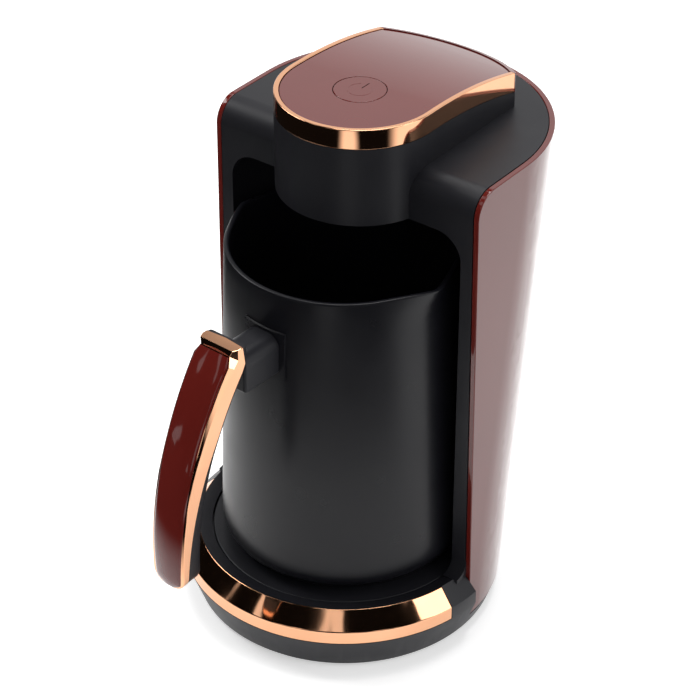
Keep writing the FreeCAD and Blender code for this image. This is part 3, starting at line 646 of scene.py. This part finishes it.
@dataclass
class HeadLook:
    """Lid with its plated rim and the push button."""

    shop: Workshop
    rim_round: float = 0.5 * MM
    plate_round: float = 0.3 * MM
    # Middle of the button's top.
    button_centre: Vector = Vector((0.0, 10.5 * MM, 249.5 * MM))
    # The metal ends here, at the lid's rear corners.
    rim_end: float = 72.4 * MM
    mark_radius: float = 5.2 * MM
    mark_width: float = 0.45 * MM
    mark_height: float = 0.06 * MM
    # Half of the gap that the ring leaves for the bar.
    mark_gap: float = math.radians(32.0)
    mark_steps: int = 56
    # Middle of the bar, as a share of the ring's radius.
    bar_rise: float = 0.75

    def build(self) -> None:
        """Builds the visible pieces of the head."""
        rim = self._rim_part("lid_gold_rim_shown", Slot.ROSE_GOLD, False)
        self._rim_part("lid_rear_edge", Slot.BURGUNDY, True)
        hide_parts("lid_gold_rim")
        self.shop.soften("lid_plate", Slot.BURGUNDY, Body.ROOT, self.plate_round)
        self.shop.soften("button_cap", Slot.BURGUNDY, Body.BUTTON, self.plate_round)
        self._mark()

    def _rim_part(self, name: str, slot: Slot, rear: bool) -> bpy.types.Object:
        """Shows the plated rim, which ends at the lid's rear corners, or the plain edge behind them.

        Args:
            name: Name of the piece.
            slot: Its finish.
            rear: Whether the part behind the corners is kept.

        Returns:
            The new piece.
        """
        shape = self.shop.copy_node("lid_gold_rim")
        cut = bmesh.ops.bisect_plane(shape, geom=shape.verts[:] + shape.edges[:] + shape.faces[:],
                                     dist=ON_PLANE, plane_co=Vector((0.0, self.rim_end, 0.0)),
                                     plane_no=Vector((0.0, 1.0, 0.0)), clear_inner=rear,
                                     clear_outer=not rear)
        rims = [edge for edge in cut["geom_cut"] if isinstance(edge, bmesh.types.BMEdge)]
        bmesh.ops.edgeloop_fill(shape, edges=rims)
        bmesh.ops.recalc_face_normals(shape, faces=shape.faces[:])
        self.shop.round_edges(shape, self.rim_round)
        return self.shop.add_even(name, shape, slot, Body.ROOT)

    def _mark(self) -> None:
        """Prints a plain ring with a gap and a bar, the usual sign for on and off, on the button."""
        shape = bmesh.new()
        across, ahead = math.sin(self.mark_gap), math.cos(self.mark_gap)
        for radius in (self.mark_radius - self.mark_width / 2, self.mark_radius + self.mark_width / 2):
            shape.verts.new(Vector((across * radius, ahead * radius, 0.0)))
        edge = shape.edges.new(shape.verts[:])
        bmesh.ops.spin(shape, geom=shape.verts[:] + [edge], cent=Vector(), axis=Vector((0.0, 0.0, -1.0)),
                       angle=math.tau - self.mark_gap * 2.0, steps=self.mark_steps)
        bar = bmesh.ops.create_grid(shape, x_segments=1, y_segments=1, size=UNIT_GRID)["verts"]
        bmesh.ops.scale(shape, vec=Vector((self.mark_width, self.mark_radius, 1.0)), verts=bar)
        bmesh.ops.translate(shape, vec=Vector((0.0, self.mark_radius * self.bar_rise, 0.0)), verts=bar)
        bmesh.ops.translate(shape, vec=self.button_centre, verts=shape.verts[:])
        bmesh.ops.solidify(shape, geom=shape.faces[:], thickness=self.mark_height)
        bmesh.ops.recalc_face_normals(shape, faces=shape.faces[:])
        self.shop.add_piece("button_mark", shape, Slot.BURGUNDY, Body.BUTTON)


@dataclass
class PotLook:
    """Lift-off pot: a spun wall that is drawn out to a small spout on each side."""

    shop: Workshop
    steps: int = 180
    low_radius: float = 56.6 * MM
    rim_radius: float = 51.8 * MM
    foot: float = 31.3 * MM
    rim: float = 181.9 * MM
    corner: float = 10.0 * MM
    wall: float = 2.4 * MM
    floor: float = 48.0 * MM
    # The wall's inside floor lies this far above the solid's, under the top of the heater plate.
    floor_lift: float = 0.2 * MM
    foot_slope: float = 0.1 * MM
    rim_round: float = 0.9 * MM
    bend_steps: int = 8
    wall_steps: int = 22
    lip_steps: int = 5
    spout_reach: float = 4.2 * MM
    spout_depth: float = 15.0 * MM
    spout_half_angle: float = math.radians(25.0)
    spout_forward: float = math.radians(5.0)
    spout_drop: float = 0.9 * MM
    # How fast a spout fades downwards and sideways.
    spout_rise_power: float = 1.6
    spout_side_power: float = 1.8
    seat_half: float = 11.2 * MM
    seat_low: float = 140.5 * MM
    seat_top: float = 164.0 * MM
    seat_depth: float = 0.9 * MM
    seat_slope: float = 0.3 * MM
    # Where the faces near the arm lie: two heights, and a share of the rim's radius.
    front_low: float = 130.0 * MM
    front_top: float = 175.0 * MM
    front_share: float = 0.9

    def build(self) -> None:
        """Builds the visible pieces of the pot."""
        shape = bmesh.new()
        profile = [shape.verts.new(point) for point in self._profile()]
        edges = [shape.edges.new(pair) for pair in zip(profile, profile[1:])]
        bmesh.ops.spin(shape, geom=profile + edges, cent=Vector(), axis=Vector((0.0, 0.0, 1.0)),
                       angle=math.tau, steps=self.steps, use_merge=True)
        bmesh.ops.remove_doubles(shape, verts=shape.verts[:], dist=self.shop.merge_distance)
        self._draw_spouts(shape)
        self._sink_seat(shape)
        bmesh.ops.recalc_face_normals(shape, faces=shape.faces[:])
        self.shop.turn_with_pot(shape)
        pot = self.shop.add_piece("pot_wall_coated", shape, Slot.POT, Body.POT)
        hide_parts("pot_body")

    def _radius(self, level: float) -> float:
        """Finds the outer radius of the tapered wall at a height."""
        fall = (self.low_radius - self.rim_radius) / (self.rim - self.foot)
        return self.low_radius - fall * (level - self.foot)

    def _profile(self) -> list[Vector]:
        """Half section of the wall: foot, rounded corner, taper, rounded rim and the way down inside.

        Returns:
            Points from the inner edge of the foot to the middle of the inside floor.
        """
        bend_level = self.foot + self.corner
        bend_centre = self._radius(bend_level) - self.corner
        top = self.rim - self.rim_round
        inner_edge = self._radius(self.rim) - self.wall
        inside_floor = self.floor + self.floor_lift
        points = [(bend_centre - self.wall, self.foot + self.wall),
                  (bend_centre - self.foot_slope, self.foot + self.wall)]
        for index in range(self.bend_steps + 1):
            angle = math.pi / 2 * index / self.bend_steps
            points.append((bend_centre + self.corner * math.sin(angle),
                           bend_level - self.corner * math.cos(angle)))
        for index in range(1, self.wall_steps + 1):
            level = bend_level + (top - bend_level) * index / self.wall_steps
            points.append((self._radius(level), level))
        for index in range(1, self.lip_steps):
            angle = math.pi / 2 * index / self.lip_steps
            points.append((self._radius(top) - self.rim_round * (1.0 - math.cos(angle)),
                           top + self.rim_round * math.sin(angle)))
        for index in range(self.lip_steps):
            angle = math.pi / 2 * (1.0 - index / self.lip_steps)
            points.append((inner_edge + self.rim_round * (1.0 - math.cos(angle)),
                           top + self.rim_round * math.sin(angle)))
        for index in range(self.wall_steps + 1):
            level = top + (inside_floor - top) * index / self.wall_steps
            points.append((self._radius(level) - self.wall, level))
        points.append((self.wall, inside_floor))
        points.append((0.0, inside_floor))
        return [Vector((radius, 0.0, level)) for radius, level in points]

    def _draw_spouts(self, shape: bmesh.types.BMesh) -> None:
        """Draws the wall out to a soft point on each side, strongest at the rim.

        Args:
            shape: The spun wall.
        """
        for vert in shape.verts:
            rise = (vert.co.z - (self.rim - self.spout_depth)) / self.spout_depth
            if rise <= 0.0:
                continue
            turned = math.atan2(vert.co.y, abs(vert.co.x)) + self.spout_forward
            side = abs(turned) / self.spout_half_angle
            if side >= 1.0:
                continue
            share = rise ** self.spout_rise_power * (1.0 - side) ** self.spout_side_power
            out = vert.co.xy.normalized() * (self.spout_reach * share)
            vert.co.x += out.x
            vert.co.y += out.y
            vert.co.z -= self.spout_drop * share

    def _sink_seat(self, shape: bmesh.types.BMesh) -> None:
        """Sinks the flat seat of the arm into the front of the wall.

        Args:
            shape: The spun wall.
        """
        cuts = (
            (Vector((self.seat_half, 0.0, 0.0)), Vector((1.0, 0.0, 0.0))),
            (Vector((-self.seat_half, 0.0, 0.0)), Vector((1.0, 0.0, 0.0))),
            (Vector((0.0, 0.0, self.seat_low)), Vector((0.0, 0.0, 1.0))),
            (Vector((0.0, 0.0, self.seat_top)), Vector((0.0, 0.0, 1.0))),
        )
        for place, normal in cuts:
            near = [face for face in shape.faces if self._is_front(face)]
            verts = list(dict.fromkeys(vert for face in near for vert in face.verts))
            edges = list(dict.fromkeys(edge for face in near for edge in face.edges))
            bmesh.ops.bisect_plane(shape, geom=verts + edges + near, dist=ON_PLANE, plane_co=place,
                                   plane_no=normal)
        seat = [face for face in shape.faces if self._is_front(face)
                and abs(face.calc_center_median().x) < self.seat_half
                and self.seat_low < face.calc_center_median().z < self.seat_top]
        bmesh.ops.inset_region(shape, faces=seat, thickness=self.seat_slope, depth=-self.seat_depth,
                               use_even_offset=True)

    def _is_front(self, face: bmesh.types.BMFace) -> bool:
        """Tells whether a face lies on the outer wall near the arm.

        Args:
            face: A face of the wall.

        Returns:
            Whether it does.
        """
        centre = face.calc_center_median()
        outside = centre.xy.length > self._radius(centre.z) - self.wall / 2
        in_front = centre.y < -self.rim_radius * self.front_share
        return outside and in_front and self.front_low < centre.z < self.front_top


@dataclass
class HandleLook:
    """Curved handle that hangs from its top: every cross-section stands square to the arc of its face."""

    shop: Workshop
    arm_round: float = 1.5 * MM
    # Centre of the arc that the face follows.
    centre: Vector = Vector((0.0, 36.7 * MM, 72.1 * MM))
    radius: float = 154.0 * MM
    low: float = 64.0 * MM
    shoulder: float = 168.4 * MM
    top: float = 170.0 * MM
    back: float = -74.0 * MM
    cap_front: float = -81.7 * MM
    cap_rear: float = -75.3 * MM
    cap_half: float = 8.9 * MM
    cap_step: float = 0.3 * MM
    cap_slope: float = 2.7 * MM
    cap_flat: float = 0.9 * MM
    end_round: float = 6.0 * MM
    end_steps: int = 7
    arc_steps: int = 30
    low_half: float = 8.7 * MM
    top_half: float = 10.4 * MM
    facet_end: float = 118.0 * MM
    facet_depth: float = 3.6 * MM
    facet_sink: float = 0.3 * MM
    facet_least: float = 0.3 * MM
    frame_low_depth: float = 4.4 * MM
    frame_top_depth: float = 11.3 * MM
    frame_full_level: float = 138.0 * MM
    frame_round: float = 0.3 * MM
    frame_smooth: float = math.radians(12.0)
    core_depth: float = 13.4 * MM
    core_round: float = 2.4 * MM
    core_step: float = 0.35 * MM
    core_lift: float = 0.4 * MM
    core_overlap: float = 1.0 * MM
    core_least: float = 1.2 * MM
    core_top_depth: float = 2.2 * MM
    core_top_drop: float = 0.6 * MM
    # Share of the width or depth that a rounding may take, and where its middle point lies.
    bend_share: float = 0.6
    bend_middle: float = 0.3
    inlay_skin: float = 2.6 * MM
    inlay_crown: float = 1.1 * MM
    inlay_low_half: float = 7.4 * MM
    # Half width that the inlay gains with each unit of height.
    inlay_spread: float = 0.055
    inlay_corner: float = 166.4 * MM
    # Half width that it loses with each unit of height over its cut corners.
    inlay_cut: float = 0.9
    inlay_strip: float = 0.7 * MM
    inlay_gap: float = 0.1 * MM
    inlay_least: float = 1.2 * MM
    inlay_lift: float = 0.9 * MM
    inlay_drop: float = 0.4 * MM
    inlay_end_drop: float = 0.9 * MM
    # Points across its crown, as shares of its half width.
    inlay_shares: tuple[float, ...] = (0.0, 0.3, 0.6, 0.82)
    # Where its edge starts to round, as shares of its half width and crown, and two depths of the edge.
    edge_half: float = 0.95
    edge_crown: float = 0.92
    edge_drop: float = 0.08 * MM
    edge_depth: float = 0.5 * MM

    def build(self) -> None:
        """Builds the visible pieces of the handle."""
        self.shop.soften("handle_arm", Slot.BLACK, Body.POT, self.arm_round)
        self._core()
        self._frame()
        self._inlay()

    def _half(self, level: float) -> float:
        """Half width of the handle at a height, drawn in over its rounded lower end.

        Args:
            level: The height.

        Returns:
            The half width.
        """
        share = (level - self.low) / (self.top - self.low)
        half = self.low_half + (self.top_half - self.low_half) * share
        below = self.low + self.end_round - level
        if below <= 0.0:
            return half
        return half - self.end_round + math.sqrt(max(self.end_round ** 2 - below ** 2, 0.0))

    def _inlay_half(self, level: float) -> float:
        """Half width of the inlay, which leaves a wider strip of metal low down and has cut top corners.

        Args:
            level: The height.

        Returns:
            The half width.
        """
        wide = self.inlay_low_half + (level - self.low - self.end_round) * self.inlay_spread
        corner = max(level - self.inlay_corner, 0.0) * self.inlay_cut
        return min(self._half(level) - self.inlay_strip, wide) - corner

    def _front(self, level: float) -> tuple[Vector, Vector]:
        """Finds the face of the handle at a height.

        Args:
            level: The height.

        Returns:
            The point on the face's arc, and the direction from it to the arc's centre.
        """
        rise = level - self.centre.z
        front = Vector((0.0, self.centre.y - math.sqrt(self.radius ** 2 - rise ** 2), level))
        return front, (self.centre - front).normalized()

    def _frame_depth(self, level: float) -> float:
        """Finds the depth of the plated frame, which grows from the lower end upwards."""
        share = min((level - self.low) / (self.frame_full_level - self.low), 1.0)
        return self.frame_low_depth + (self.frame_top_depth - self.frame_low_depth) * share

    def _levels(self, low: float, high: float) -> list[float]:
        """Spaces the cross-sections: close together over the rounded end, then even.

        Args:
            low: Height of the first section.
            high: Height of the last section.

        Returns:
            The heights.
        """
        ends = [low + self.end_round * (1.0 - math.cos(math.pi / 2 * index / self.end_steps))
                for index in range(self.end_steps)]
        start = low + self.end_round
        arc = [start + (high - start) * index / self.arc_steps for index in range(self.arc_steps + 1)]
        return ends + arc

    @staticmethod
    def _mirrored(flank: list[tuple[float, Vector]], middle: Optional[Vector] = None) -> list[Vector]:
        """Makes a whole cross-section from its right half.

        Args:
            flank: Half widths and places, from the front to the rear.
            middle: A point between the rear corners.

        Returns:
            The points in order round the section.
        """
        left = [Vector((-x, place.y, place.z)) for x, place in reversed(flank)]
        right = [Vector((x, place.y, place.z)) for x, place in flank]
        return left + right + ([middle] if middle else [])

    def _loft(self, sections: list[list[Vector]], ridges: tuple[int, ...] = ()) -> bmesh.types.BMesh:
        """Joins cross-sections of equal count into a closed solid and turns it with the pot.

        Args:
            sections: Loops of points, in order.
            ridges: Which points of a loop lie on ridges that get a small rounding, with the last loop.

        Returns:
            The solid.
        """
        shape = bmesh.new()
        loops = []
        for section in sections:
            verts = [shape.verts.new(point) for point in section]
            loops.append([shape.edges.new((verts[i - 1], verts[i])) for i in range(len(verts))])
        for lower, upper in zip(loops, loops[1:]):
            bmesh.ops.bridge_loops(shape, edges=lower + upper)
        for loop in (loops[0], loops[-1]):
            bmesh.ops.contextual_create(shape, geom=loop)
        bmesh.ops.recalc_face_normals(shape, faces=shape.faces[:])
        if ridges:
            shape.verts.index_update()
            count = len(sections[0])
            edges = [edge for edge in shape.edges
                     if edge.verts[0].index % count == edge.verts[1].index % count
                     and edge.verts[0].index % count in ridges]
            bmesh.ops.bevel(shape, geom=edges + loops[-1], offset=self.frame_round, offset_type="OFFSET",
                            segments=2, profile=0.5, affect="EDGES", material=-1)
        self.shop.turn_with_pot(shape)
        return shape

    def _core(self) -> None:
        """Builds the black rear half, a hair narrower than the frame, with rounded rear edges."""
        stations = []
        for level in self._levels(self.low + self.core_lift, self.shoulder):
            front, inward = self._front(level)
            near = self._frame_depth(level) - self.core_overlap
            far = min(self.core_depth, (self.back - front.y) / inward.y)
            stations.append((self._half(level), front, inward, min(near, far - self.core_least), far))
        front = Vector((0.0, self.back - self.core_top_depth, self.top - self.core_top_drop))
        stations.append((self._half(self.top), front, Vector((0.0, 1.0, 0.0)), 0.0, self.core_top_depth))
        sections = []
        for half, front, inward, near, far in stations:
            half -= self.core_step
            bend = min(self.core_round, half * self.bend_share, (far - near) * self.bend_share)
            middle = bend * self.bend_middle
            flank = [(half, near), (half, far - bend), (half - middle, far - middle), (half - bend, far)]
            sections.append(self._mirrored([(x, front + inward * depth) for x, depth in flank]))
        core = self.shop.add_piece("handle_core_moulded", self._loft(sections), Slot.BLACK, Body.POT)
        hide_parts("handle_core")

    def _frame(self) -> None:
        """Builds the plated frame: a facet beside the inlay narrows to nothing half way down."""
        sections = []
        for level in self._levels(self.low, self.shoulder):
            front, inward = self._front(level)
            half = self._half(level)
            share = max(0.0, (level - self.facet_end) / (self.shoulder - self.facet_end))
            start = self.inlay_crown + self.facet_sink
            deep = start + self.facet_least + share * self.facet_depth
            rear = min(self._frame_depth(level), (self.cap_rear - front.y) / inward.y)
            flank = [(self._inlay_half(level), start), (half, deep), (half, rear)]
            sections.append(self._mirrored([(x, front + inward * depth) for x, depth in flank],
                                           front + inward * rear))
        side = self.top_half - self.cap_step
        crown = [(self.cap_half, self.cap_front), (side, self.cap_front + self.cap_slope),
                 (side, self.cap_rear - self.cap_flat)]
        sections.append(self._mirrored([(x, Vector((0.0, y, self.top))) for x, y in crown],
                                       Vector((0.0, self.cap_rear, self.top))))
        shape = self._loft(sections, ridges=(0, 1, 2, 3, 4, 5))
        plated = self.shop.add_piece("handle_frame_plated", shape, Slot.ROSE_GOLD, Body.POT,
                                     smooth_below=self.frame_smooth)
        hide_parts("handle_gold_frame")

    def _inlay(self) -> None:
        """Builds the burgundy inlay, crowned across its width, with softly rounded edges."""
        sections = []
        for level in self._levels(self.low + self.inlay_lift, self.shoulder - self.inlay_drop):
            front, inward = self._front(level)
            half = max(self._inlay_half(level) - self.inlay_gap, self.inlay_least)
            end = max(0.0, (self.low + self.end_round - level) / self.end_round)
            drop = self.inlay_end_drop * end ** 2
            crown = self.inlay_crown
            flank = [(half * share, crown * share ** 2 + drop) for share in self.inlay_shares]
            flank += [(half * self.edge_half, crown * self.edge_crown + drop + self.edge_drop),
                      (half, crown + drop + self.edge_depth), (half, self.inlay_skin)]
            points = [(x, front + inward * depth) for x, depth in flank]
            sections.append(self._around(points))
        shape = self._loft(sections)
        inlay = self.shop.add_piece("handle_inlay_lacquered", shape, Slot.BURGUNDY, Body.POT)
        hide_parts("handle_inlay")

    @staticmethod
    def _around(flank: list[tuple[float, Vector]]) -> list[Vector]:
        """Makes a whole cross-section from its right half, which starts in the middle of the front."""
        left = [Vector((-x, place.y, place.z)) for x, place in reversed(flank)]
        return left + [Vector((x, place.y, place.z)) for x, place in flank[1:]]


@dataclass
class Studio:
    """White floor and air, soft boxes, dark cloths that only mirrors see, and the camera."""

    camera_place: Vector = Vector((0.5355, -0.70015, 0.7261))
    camera_target: Vector = Vector((0.00282, 0.0, 0.1256))
    lens: float = 124.6
    sensor: float = 36.0
    floor_half: float = 4.0
    floor_colour: str = "#f4f4f4"
    light_colour: str = "#ffffff"
    floor_glow: float = 0.45
    ambient: float = 0.46
    lamp_aim: Vector = Vector((0.0, 0.0, 0.12))
    velvet_colour: str = "#101010"
    tent_radius: float = 1.7
    tent_aim: Vector = Vector((0.0, -0.75, 0.6614))
    tent_rounds: int = 4
    # How far a direction lies along the aim where the tent starts and where it is whole.
    tent_edge: tuple[float, float] = (-0.1, 0.12)
    tent_patch_mm: float = 480.0
    # The tent is open where its patches are above this.
    tent_gap: float = 0.62
    tent_blur: float = 0.05
    cloth_half: float = 1.6
    cloth_level: float = 0.004
    # Distances from the origin where the cloth starts and is whole.
    cloth_near: tuple[float, float] = (0.17, 0.30)
    cloth_aim: Vector = Vector((-0.29, -0.957, 0.0))
    # How far a direction lies along the aim where the cloth starts and where it is whole.
    cloth_edge: tuple[float, float] = (-0.3, 0.0)
    cloth_gap: Vector = Vector((0.17, -0.40, 0.0))
    # Distances from the middle of its gap where the cloth starts and is whole.
    cloth_gap_edge: tuple[float, float] = (0.04, 0.12)

    def build(self) -> None:
        """Builds the stage."""
        self._camera()
        self._floor()
        self._world()
        self._lamp("key_box", place=Vector((-1.0, -0.2, 1.0)), size=Vector((0.5, 0.7)), power=6.5)
        self._lamp("side_box", place=Vector((1.2, 0.3, 0.7)), size=Vector((0.5, 0.9)), power=4.0)
        self._lamp("top_box", place=Vector((-0.1, 0.30, 1.35)), size=Vector((0.7, 0.7)), power=11.0)
        self._tent()
        self._velvet_floor()

    def _camera(self) -> None:
        """Places the camera at the photograph's viewing angle."""
        data = bpy.data.cameras.new("camera")
        data.lens = self.lens
        data.sensor_width = self.sensor
        camera = bpy.data.objects.new("camera", data)
        camera.location = self.camera_place
        camera.rotation_euler = (self.camera_target - self.camera_place).to_track_quat("-Z", "Y").to_euler()
        bpy.context.scene.collection.objects.link(camera)
        bpy.context.scene.camera = camera

    @staticmethod
    def _sheet(name: str, size: tuple[float, float], matrix: Matrix) -> bpy.types.Object:
        """Lays a flat sheet that belongs to the stage.

        Args:
            name: Name of the sheet.
            size: Its width and depth.
            matrix: Its place.

        Returns:
            The sheet.
        """
        shape = bmesh.new()
        bmesh.ops.create_grid(shape, x_segments=1, y_segments=1, size=UNIT_GRID)
        bmesh.ops.scale(shape, vec=Vector((size[0], size[1], 1.0)), verts=shape.verts[:])
        bmesh.ops.transform(shape, matrix=matrix, verts=shape.verts[:])
        return Studio._stage_piece(name, shape)

    @staticmethod
    def _stage_piece(name: str, shape: bmesh.types.BMesh) -> bpy.types.Object:
        """Adds a piece of the stage.

        Args:
            name: Name of the piece.
            shape: Its shape, freed here.

        Returns:
            The piece.
        """
        mesh = bpy.data.meshes.new(name)
        shape.to_mesh(mesh)
        shape.free()
        piece = bpy.data.objects.new(name, mesh)
        bpy.context.scene.collection.objects.link(piece)
        return piece

    @staticmethod
    def _seen(tree: bpy.types.NodeTree) -> bpy.types.NodeSocket:
        """Tells which rays show the background: those of the camera, of mirrors and through glass.

        Args:
            tree: The node tree that asks.

        Returns:
            1 for those rays and 0 for the light that falls on the object.
        """
        path = add_node(tree, "ShaderNodeLightPath")
        first = add_node(tree, "ShaderNodeMath",
                         {0: path.outputs["Is Camera Ray"], 1: path.outputs["Is Glossy Ray"]},
                         operation="ADD")
        both = add_node(tree, "ShaderNodeMath",
                        {0: first.outputs[0], 1: path.outputs["Is Transmission Ray"]}, operation="ADD",
                        use_clamp=True)
        return both.outputs[0]

    def _floor(self) -> None:
        """Lays a pale floor that stays white for the camera and keeps the shadow."""
        floor = self._sheet("floor", (self.floor_half * 2.0, self.floor_half * 2.0), Matrix.Identity(4))
        material = bpy.data.materials.new("floor_paper")
        tree = empty_tree(material)
        glow = add_node(tree, "ShaderNodeMath", {0: self._seen(tree), 1: self.floor_glow},
                        operation="MULTIPLY")
        paper = add_node(tree, "ShaderNodeBsdfDiffuse", {"Color": hex_to_linear(self.floor_colour)})
        light = add_node(tree, "ShaderNodeEmission",
                         {"Color": hex_to_linear(self.light_colour), "Strength": glow.outputs[0]})
        both = add_node(tree, "ShaderNodeAddShader", {0: paper.outputs[0], 1: light.outputs[0]})
        add_node(tree, "ShaderNodeOutputMaterial", {"Surface": both.outputs[0]})
        floor.data.materials.append(material)

    def _velvet(self, piece: bpy.types.Object, tree: bpy.types.NodeTree,
                cover: bpy.types.NodeSocket) -> None:
        """Finishes a dark cloth that only mirrors see.

        Args:
            piece: The cloth.
            tree: Its material's node tree.
            cover: 1 where the cloth is whole and 0 where it is open.
        """
        open_air = add_node(tree, "ShaderNodeBsdfTransparent")
        velvet = add_node(tree, "ShaderNodeBsdfDiffuse", {"Color": hex_to_linear(self.velvet_colour)})
        both = add_node(tree, "ShaderNodeMixShader",
                        {0: cover, 1: open_air.outputs[0], 2: velvet.outputs[0]})
        add_node(tree, "ShaderNodeOutputMaterial", {"Surface": both.outputs[0]})
        for ray in ("camera", "diffuse", "transmission", "volume_scatter", "shadow"):
            setattr(piece, "visible_" + ray, False)

    @staticmethod
    def _start_velvet(piece: bpy.types.Object) -> tuple[bpy.types.NodeTree, bpy.types.NodeSocket]:
        """Gives a cloth an empty material.

        Args:
            piece: The cloth.

        Returns:
            The material's node tree and the place of a point on the cloth.
        """
        material = bpy.data.materials.new(piece.name + "_velvet")
        tree = empty_tree(material)
        piece.data.materials.append(material)
        return tree, add_node(tree, "ShaderNodeTexCoord").outputs["Object"]

    def _tent(self) -> None:
        """Hangs a dark tent round the front, whose irregular gaps give plated metal its bright patches."""
        shape = bmesh.new()
        bmesh.ops.create_icosphere(shape, subdivisions=self.tent_rounds, radius=self.tent_radius)
        tent = self._stage_piece("tent", shape)
        tree, place = self._start_velvet(tent)
        patches = grain(tree, self.tent_patch_mm, detail=1.0)
        gaps = ramp(tree, patches, self.tent_gap, self.tent_gap - self.tent_blur)
        front = ramp(tree, along(tree, place, self.tent_aim), *self.tent_edge)
        self._velvet(tent, tree, product(tree, gaps, front))

    def _velvet_floor(self) -> None:
        """Lays a dark cloth on the floor in front, with one gap for the bright patch on the lid's rim."""
        size = self.cloth_half * 2.0
        cloth = self._sheet("floor_cloth", (size, size), Matrix.Translation((0.0, 0.0, self.cloth_level)))
        tree, place = self._start_velvet(cloth)
        distance = add_node(tree, "ShaderNodeVectorMath", {0: place}, operation="LENGTH")
        gap = add_node(tree, "ShaderNodeVectorMath", {0: place, 1: self.cloth_gap}, operation="DISTANCE")
        cover = product(tree, ramp(tree, distance.outputs["Value"], *self.cloth_near),
                        ramp(tree, along(tree, place, self.cloth_aim), *self.cloth_edge),
                        ramp(tree, gap.outputs["Value"], *self.cloth_gap_edge))
        self._velvet(cloth, tree, cover)

    def _world(self) -> None:
        """Sets a white background that gives a softer light than it shows."""
        world = bpy.data.worlds.new("studio_air")
        tree = empty_tree(world)
        level = add_node(tree, "ShaderNodeMapRange",
                         {"Value": self._seen(tree), "To Min": self.ambient, "To Max": 1.0})
        sky = add_node(tree, "ShaderNodeBackground",
                       {"Color": hex_to_linear(self.light_colour), "Strength": level.outputs["Result"]})
        add_node(tree, "ShaderNodeOutputWorld", {"Surface": sky.outputs[0]})
        bpy.context.scene.world = world

    def _lamp(self, name: str, place: Vector, size: Vector, power: float) -> None:
        """Hangs one soft box that faces the object.

        Args:
            name: Name of the lamp.
            place: Its centre.
            size: Its width and height in metres.
            power: Its power in watts.
        """
        data = bpy.data.lights.new(name, "AREA")
        data.shape = "RECTANGLE"
        data.size = size.x
        data.size_y = size.y
        data.energy = power
        lamp = bpy.data.objects.new(name, data)
        lamp.location = place
        lamp.rotation_euler = (self.lamp_aim - place).to_track_quat("-Z", "Y").to_euler()
        bpy.context.scene.collection.objects.link(lamp)


def dress_frame(finishes: FinishBook) -> None:
    """Gives every CAD node the finish of its slot.

    Args:
        finishes: The finishes to use.
    """
    for part in frame["record"]["subparts"]:
        finishes.dress(frame["nodes"][part["node"]], Slot(part["material_slot"]))


def main() -> None:
    """Builds the scene."""
    logging.basicConfig(level=logging.INFO, format="%(message)s")
    bpy.context.scene.view_settings.view_transform = "Standard"
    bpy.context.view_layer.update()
    finishes = FinishBook()
    dress_frame(finishes)
    shop = Workshop(finishes)
    looks = (BaseLook(shop), ColumnLook(shop), HeadLook(shop), PotLook(shop), HandleLook(shop), Studio())
    for look in looks:
        look.build()
        log.info("built %s", type(look).__name__)


if __name__ == "__main__":
    main()
